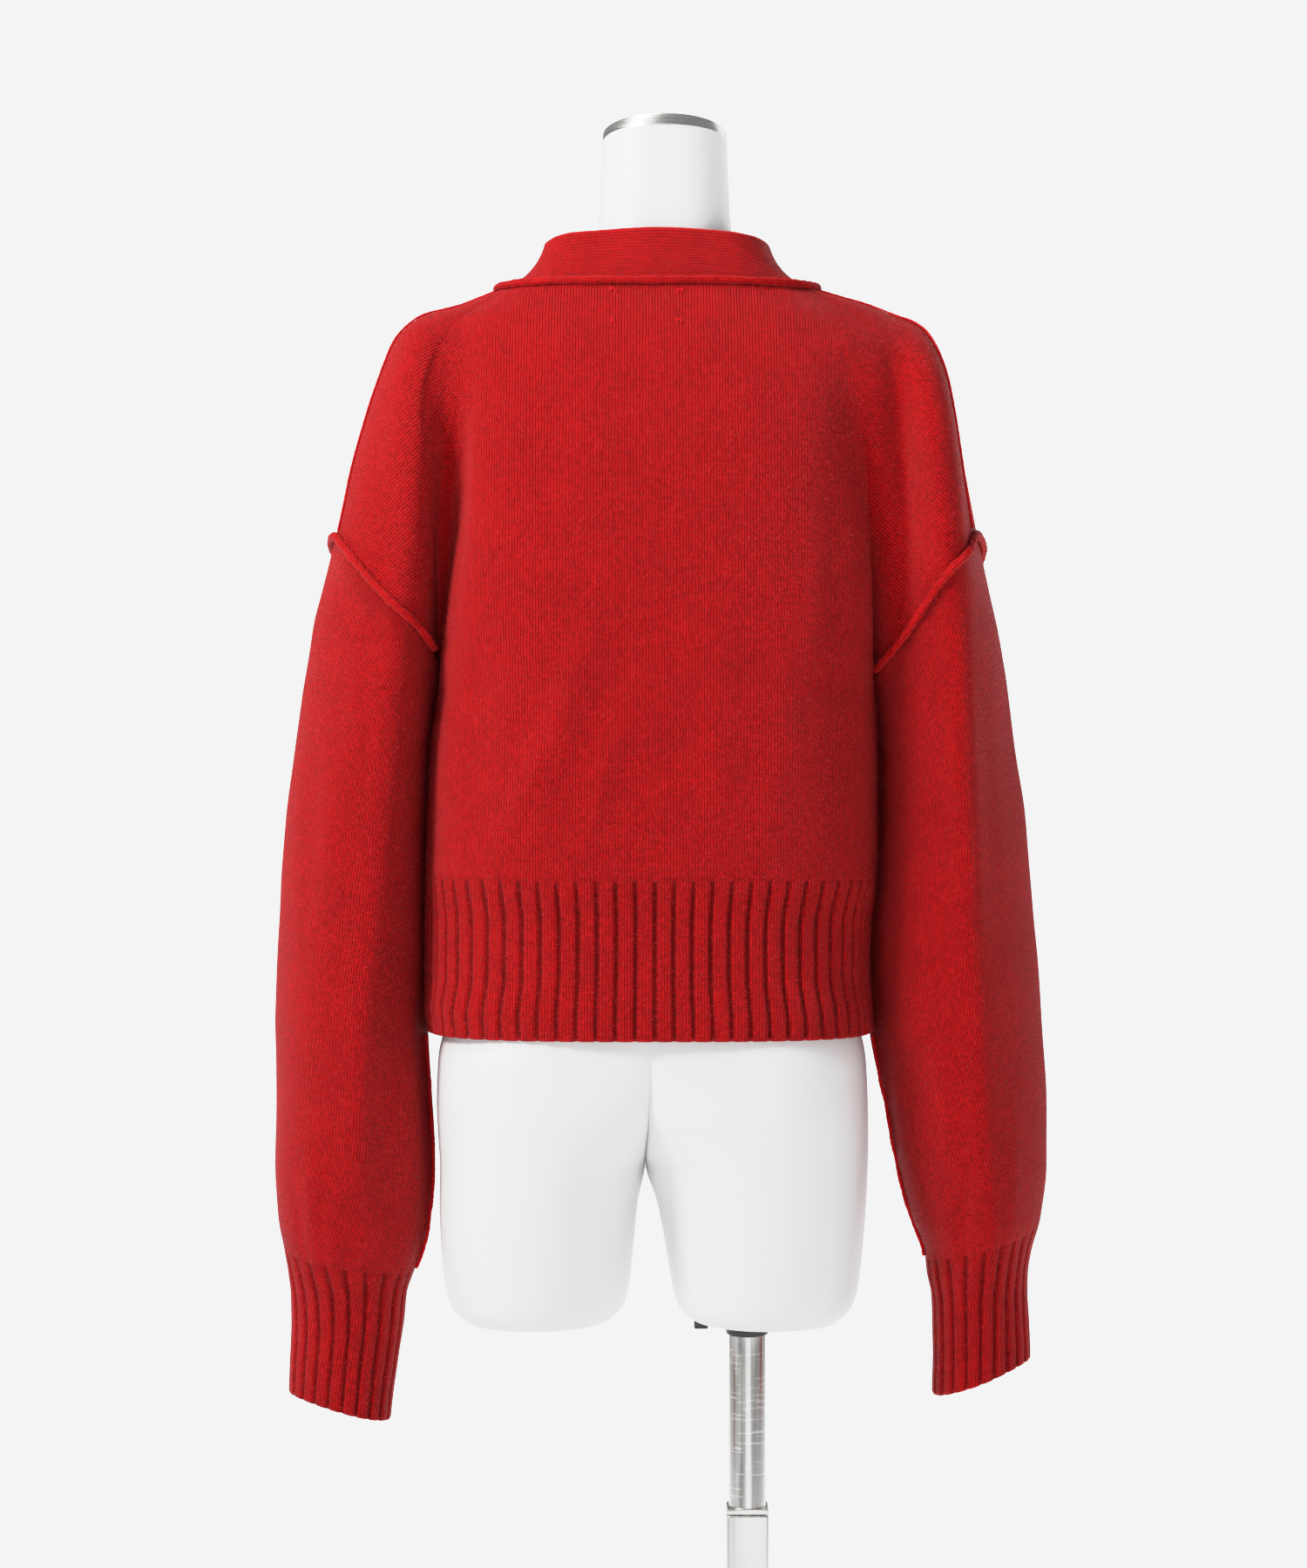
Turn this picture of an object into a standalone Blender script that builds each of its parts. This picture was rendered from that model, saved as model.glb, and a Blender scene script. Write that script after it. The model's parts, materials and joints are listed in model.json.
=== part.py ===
"""A cropped knitted cardigan worn by a limbless dress form on a pole stand.

The tables hold real sizes in millimetres. The wearer's left is +X and the back is +Y.
The origin is the centre of the base plate's underside.

Half of the garment's level section is six arcs, and a place on it is a number from 0 to 6:
0-1 back panel, centre to underarm fold   1-2 inside of the sleeve, back   2-3 outer flank, back
3-4 outer flank, front   4-5 inside of the sleeve, front   5-6 front panel, fold to centre.
Above the underarm the six arcs are one curve. Below it, 1-5 closes into the sleeve and the
rest is the body.
"""

import math
from types import SimpleNamespace

import bmesh
import bpy
import numpy as np
from mathutils import Vector

MM = 0.001
MODEL = "cardigan_on_form"
CUTTERS = "cutters"

# ------------------------------------------------------------------ driving sizes
WALL = 2.8                 # knitted wall
SEAM_GAP = 0.36            # between pieces at a seam
LIE_GAP = 0.45             # between a panel and what lies on it
ROLL_GAP = 1.5             # the same under the rope-like seam round the neck, which bends more

HEM_TOP = 955.0            # where the body's knit turns to rib
HEM_BOTTOM = 850.0
UNDERARM = 1080.0          # the armhole's lowest point
SHOULDER_POINT = 1190.0    # where shoulder seam and armhole meet
NECK_LINE = 1362.0         # the neck seam, level round the back and sides

BAND_EDGE = 18.5           # the front band's seam from the centre front
V_POINT = 1215.0           # where the two fronts meet
V_TOP_X = 94.0             # the neck line's place on the front at the height of the neck seam
LAP = 3.6                  # one front band lies this far over the other at its free edge

RIB_RELIEF = 1.8
RIB_WALL = 2.3
RIB_FLAT = (0.2, 0.8)      # a rib's raised part, as a share of the pitch

BACK_RIBS = 34
FRONT_RIBS = 15
CUFF_RIBS = 21
ROLL_RADIUS = 2.9          # armhole and neck seams, linked outwards
SHOULDER_ROLL = 1.3
SLEEVE_ROLL = 1.9

BUTTON_RADIUS = 10.0
BUTTON_DEPTH = 4.0
BUTTON_HEIGHTS = (1196.0, 1116.0, 1036.0, 956.0, 876.0)

POLE_X = -64.0
POLE_RADIUS = 12.75
POLE_TOP = 637.4
POLE_BOTTOM = 250.0
COLLAR_RADIUS = 15.5
COLLAR_TOP = 650.6
TUBE_SIDE = 29.0
TUBE_WALL = 1.5
TUBE_TOP = 514.0
TUBE_CAP_DEPTH = 4.0
POLE_CLEARANCE = 0.3
BASE_SIDE = 330.0
BASE_DEPTH = 6.0

NECK_CAP_RADIUS = 43.0
NECK_CAP_DEPTH = 9.0
NECK_TILT = math.radians(10.0)
NECK_TOP = 1464.0

# ------------------------------------------------------------------ section tables
# The body: depths of back and front from the side line, how square the panel's arc is,
# and how deep the front's shoulder is beside the back's.
BODY_COLUMNS = ("height", "back", "front", "square", "front_share")
BODY_ROWS = (
    (840, 110, 102, 3.0, 1.0),
    (862, 109, 101, 3.0, 1.0),
    (890, 106, 99, 2.7, 1.0),
    (925, 105, 99, 2.7, 1.0),
    (955, 108, 101, 3.0, 1.0),
    (1000, 109, 104, 3.1, 1.0),
    (1047, 110, 109, 3.2, 1.0),
    (1080, 111, 113, 3.2, 1.0),
    (1150, 112, 119, 3.2, 1.0),
    (1200, 110, 118, 3.0, 1.0),
    (1250, 107, 107, 2.8, 0.95),
    (1290, 101, 92, 2.5, 0.9),
    (1314, 95, 82, 2.4, 0.86),
    (1338, 84, 68, 2.2, 0.8),
    (1350, 77, 60, 2.1, 0.76),
    (1362, 67, 50, 2.0, 0.72),
    (1374, 56, 42, 2.0, 0.7),
)

# One side of the garment. waist: half width of the body, and the fold's place above the underarm.
# inner: the sleeve's inner edge. valley: the fold's depth from the side line. peak_x and peak: the
# sleeve's or shoulder's crest. outer: the outline. soft: how far the fold is rounded. flank: how
# full the outer side of the crest is (2 is round, 1.3 is a sharp crest with a flat side).
SIDE_COLUMNS = ("height", "waist", "inner", "valley", "peak_x", "peak", "outer", "soft", "flank")
LEFT_ROWS = (
    (565, 146, 185.5, 0, 220, 31.0, 256.5, 0, 2.0),
    (599, 146, 181.5, 0, 217, 30.5, 255, 0, 2.0),
    (623, 146, 178, 0, 215, 30.5, 254, 0, 2.0),
    (647, 146, 174.5, 0, 213, 31.5, 253, 0, 2.0),
    (665, 146, 173, 0, 213, 35, 253.5, 0, 2.0),
    (681, 146, 168.0, 0, 215, 41, 255.5, 0, 2.0),
    (696, 146, 162.5, 0, 217, 46, 258, 0, 2.0),
    (720, 146, 157.3, 0, 220, 51, 262, 0, 2.0),
    (756, 146, 154.9, 0, 220, 58, 264, 0, 1.95),
    (805, 146, 157.6, 0, 218, 62, 263.5, 0, 1.9),
    (853, 155.5, 159.8, 0, 216, 66, 264, 0, 1.85),
    (870, 157.5, 159.6, 0, 215, 67, 263.5, 0, 1.85),
    (890, 157.2, 158.9, 0, 213.5, 68, 263, 0, 1.8),
    (925, 157.0, 158.6, 0, 211.5, 69, 261.5, 0, 1.8),
    (955, 156.4, 158, 0, 210, 70, 260, 0, 1.8),
    (1000, 155.0, 156.6, 0, 206, 71, 256, 0, 1.8),
    (1047, 152.6, 154.2, 0, 199, 72, 250, 0, 1.8),
    (1080, 149.4, 150.2, 0, 191, 73, 245.5, 0, 1.8),
    (1094, 148.9, 149.6, 12, 189, 73.5, 243, 0, 1.8),
    (1108, 148.2, 148.9, 21, 187, 74, 240.5, 1.0, 1.8),
    (1130, 147, 148.5, 29, 186, 75, 237, 4.0, 1.8),
    (1150, 145.5, 147.5, 36, 186, 76, 232, 6.0, 1.85),
    (1193, 142, 145, 49, 184, 78, 221.5, 10.0, 1.9),
    (1240, 138, 142, 60, 172, 78, 211, 16.0, 2.0),
    (1290, 132, 138, 68, 160, 75, 196, 22.0, 2.0),
    (1314, 128, 133, 68, 150, 70, 187, 22.0, 2.0),
    (1326, 124, 129, 66, 142, 63, 181, 20.0, 2.0),
    (1338, 118, 123, 61, 132, 54, 166, 18.0, 2.0),
    (1350, 104, 108, 54, 114, 46, 138, 14.0, 2.0),
    (1362, 92, 95, 44, 98, 38, 105, 9.0, 2.0),
    (1374, 73, 75, 34, 77, 30, 80, 6.0, 2.0),
)
RIGHT_ROWS = (
    (565, 144, 193.5, 0, 226, 34, 261, 0, 1.7),
    (599, 144, 193, 0, 226, 34, 261, 0, 1.7),
    (623, 144, 193.5, 0, 226, 34, 261, 0, 1.7),
    (647, 144, 193, 0, 226, 35, 260, 0, 1.7),
    (665, 144, 192, 0, 226, 37, 259, 0, 1.65),
    (680, 144, 189, 0, 227, 41, 259.5, 0, 1.6),
    (696, 144, 187.5, 0, 228, 46, 262, 0, 1.55),
    (720, 144, 178.5, 0, 229, 51, 268.5, 0, 1.5),
    (756, 144, 169, 0, 227, 58, 272, 0, 1.45),
    (805, 144, 159.5, 0, 224, 62, 272, 0, 1.4),
    (853, 148.8, 151.0, 0, 220, 66, 269, 0, 1.4),
    (870, 148.2, 149.8, 0, 219, 67, 268, 0, 1.4),
    (890, 147.3, 148.9, 0, 218, 68, 266.5, 0, 1.4),
    (925, 147.8, 149.4, 0, 215, 69, 263.5, 0, 1.4),
    (955, 150.6, 152.2, 0, 213, 70, 261, 0, 1.4),
    (1000, 151.6, 153.2, 0, 210, 71, 257, 0, 1.4),
    (1047, 151.0, 152.5, 0, 207, 72, 250, 0, 1.45),
    (1080, 149.4, 150.2, 0, 206, 73, 246, 0, 1.5),
    (1094, 148.9, 149.6, 12, 206, 73.5, 244, 0, 1.52),
    (1108, 148.2, 148.9, 21, 205.5, 74, 241.5, 1.0, 1.55),
    (1130, 147, 148.5, 29, 205, 75, 237.5, 4.0, 1.6),
    (1150, 145.5, 147.5, 36, 204.5, 76, 233, 6.0, 1.65),
    (1193, 142, 145, 49, 197, 78, 223.5, 10.0, 1.72),
    (1240, 138, 142, 60, 190, 78, 213.5, 14.0, 1.78),
    (1290, 132, 138, 68, 182, 75, 204, 18.0, 1.8),
    (1314, 128, 133, 68, 166, 69, 196, 20.0, 2.0),
    (1326, 124, 129, 66, 152, 63, 191, 20.0, 2.0),
    (1338, 118, 123, 61, 138, 54, 179, 18.0, 2.0),
    (1350, 104, 108, 54, 117, 46, 150, 14.0, 2.0),
    (1362, 92, 95, 44, 99, 38, 108, 9.0, 2.0),
    (1374, 73, 75, 34, 77, 30, 82, 6.0, 2.0),
)

# The largest soft folds of the back and front panels: ends of the crest (x, height), its half
# width and how far it stands out. A negative height is a trough.
FOLD_COLUMNS = ("face", "x_top", "top", "x_foot", "foot", "spread", "rise")
FOLD_ROWS = (
    ("back", 36, 1160, 82, 975, 13, 3.2),
    ("back", 66, 1070, 106, 968, 9, 2.4),
    ("back", 16, 1090, 52, 968, 11, 2.2),
    ("back", 118, 1120, 122, 985, 10, -3.0),
    ("back", -46, 1110, -38, 975, 15, 2.2),
    ("back", -92, 1130, -80, 985, 16, 1.8),
    ("back", -118, 1240, -128, 1010, 9, -2.4),
    ("front", 112, 1150, 74, 985, 13, 3.0),
    ("front", -112, 1150, -78, 985, 13, 3.0),
    ("front", 60, 1080, 46, 975, 11, 2.0),
    ("front", -66, 1090, -50, 975, 11, 2.0),
)

# The band round the neck, from the centre back (0) to the V point (1): how far its free edge
# leans in, rises above the seam and lies back from it, and how hollow the band is between them.
BAND_COLUMNS = ("station", "inward", "rise", "back", "hollow")
BAND_ROWS = (
    (0.0, 11.0, 35.5, 0.0, 1.5),
    (0.2, 18.0, 33.0, 0.0, 2.5),
    (0.34, 31.0, 28.0, 0.0, 4.5),
    (0.44, 32.5, 25.5, 0.0, 4.0),
    (0.55, 32.5, 22.0, 6.0, 2.5),
    (0.75, 33.5, 15.5, 7.0, 1.0),
    (0.92, 33.5, 12.0, 4.0, 0.0),
    (1.0, 34.7, 0.0, 0.0, 0.0),
)

# The dress form. split: the centre line's place. left, right: the outline's. cleft: the share of
# the depth left on the centre line between the thigh stubs. crest: where each side is deepest, as
# a share from the centre line to the outline. gap: half the space between the stubs.
FORM_COLUMNS = ("height", "split", "left", "right", "back", "front", "cleft", "crest", "gap")
FORM_ROWS = (
    (1464, -6.5, 36.7, 49.7, 40, 45, 1.0, 0.14, 0),
    (1440, -6.5, 37.7, 50.7, 41, 48, 1.0, 0.14, 0),
    (1408, -6.5, 39.4, 52.4, 43, 50, 1.0, 0.14, 0),
    (1385, -6.0, 48.0, 60.0, 46, 50, 1.0, 0.16, 0),
    (1370, -5.0, 68.0, 78.0, 50, 46, 1.0, 0.18, 0),
    (1357.5, -4.0, 97.0, 102.0, 57, 44, 1.0, 0.2, 0),
    (1345.5, -4.0, 133.5, 143.0, 65.6, 49.5, 1.0, 0.25, 0),
    (1333.5, -4.0, 160.5, 169.0, 71.5, 55.2, 1.0, 0.28, 0),
    (1318, -4.0, 174.0, 183.0, 78, 65, 1.0, 0.25, 0),
    (1290, -4.0, 172.0, 178.0, 82, 72, 1.0, 0.2, 0),
    (1250, -3.0, 156.0, 160.0, 88, 84, 1.0, 0.2, 0),
    (1210, -1.0, 141.0, 142.0, 92, 97, 1.0, 0.25, 0),
    (1180, 0.0, 136.0, 136.0, 94, 103, 1.0, 0.3, 0),
    (1140, 0.0, 132.0, 132.0, 94, 102, 1.0, 0.3, 0),
    (1080, 0.0, 126.0, 126.0, 90, 95, 1.0, 0.3, 0),
    (1030, 0.0, 118.0, 118.0, 84, 86, 1.0, 0.3, 0),
    (980, 0.0, 122.0, 122.0, 85, 84, 1.0, 0.35, 0),
    (930, 0.0, 131.0, 131.0, 88, 84, 1.0, 0.32, 0),
    (890, 0.5, 136.5, 136.0, 93, 87, 0.99, 0.33, 0),
    (862, 2.0, 143.0, 139.5, 97, 89, 0.97, 0.36, 0),
    (830, 3.0, 150.5, 146.0, 104, 91, 0.92, 0.48, 0),
    (800, 4.0, 151.5, 147.5, 104, 90, 0.8, 0.48, 0),
    (778, 5.5, 150.5, 147.9, 101, 88, 0.55, 0.48, 0),
    (764, 6.8, 149.6, 147.8, 99, 87, 0.25, 0.48, 0),
    (757, 7.0, 149.2, 147.6, 98, 86, 0.0, 0.48, 0),
    (730, 5.5, 149.6, 146.4, 94, 84, 0.0, 0.48, 6.5),
    (700, 4.0, 148.4, 144.0, 89, 81, 0.0, 0.48, 11),
    (672, 3.2, 145.2, 140.6, 84, 77, 0.0, 0.48, 15),
    (658, 3.0, 141.0, 136.0, 79, 73, 0.0, 0.48, 19),
    (651, 3.0, 133.5, 129.0, 71, 66, 0.0, 0.48, 26),
)
FORM_SQUARE = 2.3

FINISHES = {
    "knit": ((0.55, 0.012, 0.016), 0.9, 0.0),
    "form_white": ((0.86, 0.86, 0.85), 0.45, 0.0),
    "brushed_steel": ((0.62, 0.61, 0.59), 0.32, 1.0),
    "black_plastic": ((0.02, 0.02, 0.022), 0.5, 0.0),
    "button": ((0.33, 0.010, 0.013), 0.35, 0.0),
}


# ------------------------------------------------------------------ reading the tables
class Table:
    """Rows of figures, read at any height by one smooth curve for each column."""

    def __init__(self, names, rows):
        ordered = sorted(rows)
        self.names = names[1:]
        self.knots = np.array([row[0] for row in ordered], dtype=float)
        self.values = np.array([row[1:] for row in ordered], dtype=float)
        self.slopes = self._slopes()

    def _slopes(self):
        """Slopes that keep each column between its rows, with no overshoot."""
        steps = np.diff(self.knots)[:, None]
        rates = np.diff(self.values, axis=0) / steps
        slopes = np.zeros_like(self.values)
        before, after = rates[:-1], rates[1:]
        same_way = before * after > 0
        mean = 2 * before * after / np.where(same_way, before + after, 1.0)
        slopes[1:-1] = np.where(same_way, mean, 0.0)
        slopes[0], slopes[-1] = rates[0], rates[-1]
        return slopes

    def at(self, where):
        where = float(np.clip(where, self.knots[0], self.knots[-1]))
        cell = int(np.clip(np.searchsorted(self.knots, where) - 1, 0, len(self.knots) - 2))
        span = self.knots[cell + 1] - self.knots[cell]
        t = (where - self.knots[cell]) / span
        low, high = self.values[cell], self.values[cell + 1]
        rise = self.slopes[cell] * span * (t ** 3 - 2 * t ** 2 + t)
        rise += self.slopes[cell + 1] * span * (t ** 3 - t ** 2)
        mixed = low * (2 * t ** 3 - 3 * t ** 2 + 1) + high * (3 * t ** 2 - 2 * t ** 3) + rise
        return SimpleNamespace(**dict(zip(self.names, mixed)))


BODY = Table(BODY_COLUMNS, BODY_ROWS)
FORM = Table(FORM_COLUMNS, FORM_ROWS)
BAND = Table(BAND_COLUMNS, BAND_ROWS)
FOLDS = [SimpleNamespace(**dict(zip(FOLD_COLUMNS, row))) for row in FOLD_ROWS]


# ------------------------------------------------------------------ section curves
ARC_POINTS = 40
INSIDE_POWER = 2.2


def even(points, count):
    """The same curve as a number of points, evenly spaced along it."""
    steps = np.linalg.norm(np.diff(points, axis=0), axis=1)
    run = np.concatenate(([0.0], np.cumsum(steps)))
    if run[-1] < 1e-9:
        return np.repeat(points[:1], count, axis=0)
    wanted = np.linspace(0.0, run[-1], count)
    columns = [np.interp(wanted, run, points[:, axis]) for axis in range(points.shape[1])]
    return np.column_stack(columns)


def quarter(start, end, power, upright):
    """A quarter of a superellipse. upright: it leaves its start along Y, else along X."""
    turn = np.linspace(0.0, math.pi / 2, ARC_POINTS * 4)
    sine = np.sin(turn) ** (2 / power)
    cosine = np.clip(np.cos(turn), 0.0, 1.0) ** (2 / power)
    if upright:
        x = end[0] + (start[0] - end[0]) * cosine
        y = start[1] + (end[1] - start[1]) * sine
    else:
        x = start[0] + (end[0] - start[0]) * sine
        y = end[1] + (start[1] - end[1]) * cosine
    return even(np.column_stack((x, y)), ARC_POINTS)


def softened(points, spread):
    """The section rounded over a spread in millimetres near its fold, and left at its outline."""
    mirror = points * (-1, 1)
    whole = np.vstack((mirror[1:60][::-1], points, mirror[-60:-1][::-1]))
    steps = np.linalg.norm(np.diff(whole, axis=0), axis=1)
    run = np.concatenate(([0.0], np.cumsum(steps)))
    level = np.linspace(0.0, run[-1], 900)
    step = level[1]
    reach = max(int(3 * spread / step), 1)
    weight = np.exp(-0.5 * (np.arange(-reach, reach + 1) * step / spread) ** 2)
    weight /= weight.sum()
    own_run = run[59:59 + len(points)]
    place = np.arange(len(points)) / ARC_POINTS
    near = np.minimum(np.abs(place - 1.0), np.abs(place - 5.0))
    share = np.clip((1.45 - near) / 0.9, 0.0, 1.0)
    share = share * share * (3 - 2 * share)
    result = points.copy()
    for axis in range(2):
        line = np.interp(level, run, whole[:, axis])
        padded = np.pad(line, reach, mode="edge")
        smooth = np.convolve(padded, weight, mode="valid")
        result[:, axis] += share * (np.interp(own_run, level, smooth) - points[:, axis])
    return result


def fold_rise(face, x, height):
    """How far the panel's largest folds move it out at a place."""
    total = np.zeros_like(x)
    for fold in FOLDS:
        if fold.face != face:
            continue
        along = (fold.top - height) / (fold.top - fold.foot)
        if not -0.25 < along < 1.25:
            continue
        crest = fold.x_top + (fold.x_foot - fold.x_top) * along
        fade = math.sin(math.pi * (along + 0.25) / 1.5) ** 2
        total += fold.rise * fade * np.exp(-((x - crest) / fold.spread) ** 2)
    return total


def section(table, sign, height):
    """The six arcs of half a section at a height."""
    row, body = table.at(height), BODY.at(height)
    halves = []
    for face, depth, share in ((1, body.back, 1.0), (-1, body.front, body.front_share)):
        valley, peak = row.valley * share, row.peak * share
        panel = quarter((0, depth), (row.waist, valley), body.square, False)
        inside = quarter((row.inner, valley), (row.peak_x, peak), INSIDE_POWER, True)
        flank = quarter((row.peak_x, peak), (row.outer, 0), row.flank, False)
        halves.append(np.vstack((panel, inside, flank)) * (1, face))
    points = np.vstack((halves[0], halves[1][::-1]))
    if row.soft > 0.3:
        points = softened(points, row.soft)
    back, front = slice(0, ARC_POINTS), slice(5 * ARC_POINTS, None)
    for face, part, way in (("back", back, 1), ("front", front, -1)):
        edge_fade = np.clip((row.waist - points[part, 0]) / 14.0, 0.0, 1.0)
        points[part, 1] += way * edge_fade * fold_rise(face, sign * points[part, 0], height)
    return points


class Side:
    """One side of the garment as a surface of heights and places, read between its samples."""

    def __init__(self, name, sign, rows, strip, valley_top, roll_gap):
        self.name, self.sign = name, sign
        self.table = Table(SIDE_COLUMNS, rows)
        self.strip = strip                # how far the shoulder seam lies inside the outline
        self.valley_top = valley_top      # where the armhole seam comes out of the fold
        self.roll_gap = roll_gap          # between the armhole's rolled seam and the panels
        self.low, self.high = 565.0, 1374.0
        self.levels = np.arange(self.low, self.high + 0.5, 1.0)
        self.lattice = np.array([section(self.table, sign, level) for level in self.levels])

    def at(self, height):
        return self.table.at(height)

    def flat(self, heights, places):
        """Points (x, y, height) for arrays of heights and places, x still on the +X side."""
        heights = np.asarray(heights, dtype=float)
        places = np.asarray(places, dtype=float)
        arc = np.clip(np.floor(places), 0, 5)
        column = arc * ARC_POINTS + (places - arc) * (ARC_POINTS - 1)
        left = np.clip(np.floor(column).astype(int), 0, 6 * ARC_POINTS - 2)
        left = np.where(places - arc >= 1.0, (arc * ARC_POINTS).astype(int) + ARC_POINTS - 2, left)
        across = column - left
        level = np.clip(heights - self.low, 0, len(self.levels) - 1.001)
        row = level.astype(int)
        up = level - row
        corners = self.lattice
        low = corners[row, left] * (1 - across)[..., None] + corners[row, left + 1] * across[..., None]
        top = corners[row + 1, left] * (1 - across)[..., None]
        top = top + corners[row + 1, left + 1] * across[..., None]
        level_point = low * (1 - up)[..., None] + top * up[..., None]
        return np.concatenate((level_point, heights[..., None]), axis=-1)

    def points(self, heights, places):
        return self.flat(heights, places) * (self.sign, 1, 1)

    def normals(self, heights, places, first, last):
        """Outward normals, measured inside the piece that runs from place first to last."""
        heights = np.asarray(heights, dtype=float)
        places = np.asarray(places, dtype=float)
        before = np.clip(places - 0.03, first, last)
        after = np.clip(places + 0.03, first, last)
        along = self.flat(heights, after) - self.flat(heights, before)
        at_centre = (places < 1e-6) | (places > 6 - 1e-6)
        along = np.where(at_centre[..., None], np.array((1.0, 0.0, 0.0)) * (1 - places[..., None] / 3), along)
        upward = self.flat(heights + 1.5, places) - self.flat(heights - 1.5, places)
        normal = np.cross(upward, along)
        normal /= np.maximum(np.linalg.norm(normal, axis=-1, keepdims=True), 1e-9)
        return normal * (self.sign, 1, 1)

    def place_of_x(self, height, x, first, last):
        """The place between first and last where the section is x from the centre."""
        places = np.linspace(first, last, 240)
        values = self.flat(np.full_like(places, height), places)[:, 0]
        if values[0] > values[-1]:
            places, values = places[::-1], values[::-1]
        return float(np.interp(x, values, places))


LEFT = Side("left", 1, LEFT_ROWS, strip=4.0, valley_top=1108.0, roll_gap=1.1)
RIGHT = Side("right", -1, RIGHT_ROWS, strip=8.0, valley_top=1094.0, roll_gap=2.6)
SIDES = (LEFT, RIGHT)
FOLD_EDGE = 1 - 1e-9       # the back panel's last place before the fold
FRONT_FOLD_EDGE = 5.0      # the front panel's first place after it
FRONT_SLEEVE_EDGE = 5 - 1e-9


# ------------------------------------------------------------------ cut lines of the panels
def seam_place(side, height):
    """The shoulder seam's place, a strip inside the outline on the back."""
    outline = side.at(height).outer
    inset = side.strip * min(1.0, 0.35 + (NECK_LINE - height) / 60.0)
    return side.place_of_x(height, outline - inset, 1.05, 3.0)


def drop_share(side, height):
    """How far down the armhole a height is: 0 at the shoulder point, 1 where it meets the fold."""
    return (SHOULDER_POINT - height) / (SHOULDER_POINT - side.valley_top)


def back_edge(side, height):
    """The back panel's outer edge: shoulder seam, then armhole."""
    if height >= SHOULDER_POINT:
        return seam_place(side, height)
    top_x = side.at(SHOULDER_POINT).outer - side.strip
    fold_x = side.at(side.valley_top).inner + 0.5
    x = top_x + (fold_x - top_x) * drop_share(side, height)
    return side.place_of_x(height, x, 1.0, 3.0)


def front_edge(side, height):
    """The front panel's outer edge: shoulder seam, then armhole round the outer side."""
    if height >= SHOULDER_POINT:
        return seam_place(side, height)
    start = seam_place(side, SHOULDER_POINT)
    return start + (FRONT_SLEEVE_EDGE - start) * drop_share(side, height) ** 0.62


def band_place(side, height):
    """The place of the band's seam on a front panel."""
    share = float(np.clip((height - V_POINT) / (NECK_LINE - V_POINT), 0.0, 1.0))
    x = BAND_EDGE + (V_TOP_X - BAND_EDGE) * share ** 0.85
    return side.place_of_x(height, x, 3.2, 6.0)


BACK_DROPS = (0.0, 0.12, 0.28, 0.46, 0.64, 0.82, 1.0)
FRONT_DROPS = (0.0, 0.03, 0.09, 0.18, 0.32, 0.5, 0.68, 0.84, 1.0)
ABOVE_SHOULDER = (1357.5, 1351.0, 1342.0, 1330.0, 1314.0, 1293.0, 1268.0, 1241.0, V_POINT)
BELOW_UNDERARM = (1045.0, 1010.0, 980.0)
SIDE_INSET = 0.0009        # half the seam gap, as a share of a panel's arc
EDGE_INSET = 0.003         # half the seam gap, as a share of a shoulder's arc


def armhole_heights(side, drops):
    """Heights of the armhole's points from the shoulder point to the underarm."""
    rows = [SHOULDER_POINT - (SHOULDER_POINT - side.valley_top) * drop for drop in drops]
    return rows + [(side.valley_top + UNDERARM) / 2, UNDERARM]


def panel_heights(side, drops):
    """The heights of a panel's rows, top to bottom."""
    foot = [HEM_TOP + SEAM_GAP / 2]
    return np.array([NECK_LINE, *ABOVE_SHOULDER, *armhole_heights(side, drops), *BELOW_UNDERARM, *foot])


# ------------------------------------------------------------------ meshes
def make_material(name):
    """A Principled material with this finish's colour, roughness and metallic value."""
    colour, roughness, metallic = FINISHES[name]
    material = bpy.data.materials.new(name)
    material.use_nodes = True
    shader = material.node_tree.nodes["Principled BSDF"]
    shader.inputs["Base Color"].default_value = (*colour, 1.0)
    shader.inputs["Roughness"].default_value = roughness
    shader.inputs["Metallic"].default_value = metallic
    return material


def place_object(name, data, finish):
    """An object for this mesh or curve, in the model's collection."""
    data.materials.append(bpy.data.materials.get(finish) or make_material(finish))
    piece = bpy.data.objects.new(name, data)
    bpy.data.collections[MODEL].objects.link(piece)
    return piece


def smooth_mesh(mesh, degrees=50.0):
    """Smooth shading, but for edges sharper than this."""
    mesh.shade_smooth()
    mesh.set_sharp_from_angle(angle=math.radians(degrees))


def mesh_object(name, points, faces, finish):
    """A closed mesh from points in millimetres, its faces turned outwards."""
    shape = bmesh.new()
    verts = [shape.verts.new(Vector(point) * MM) for point in points]
    for face in faces:
        shape.faces.new([verts[index] for index in face])
    bmesh.ops.recalc_face_normals(shape, faces=shape.faces)
    mesh = bpy.data.meshes.new(name)
    shape.to_mesh(mesh)
    shape.free()
    smooth_mesh(mesh)
    return place_object(name, mesh, finish)


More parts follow.
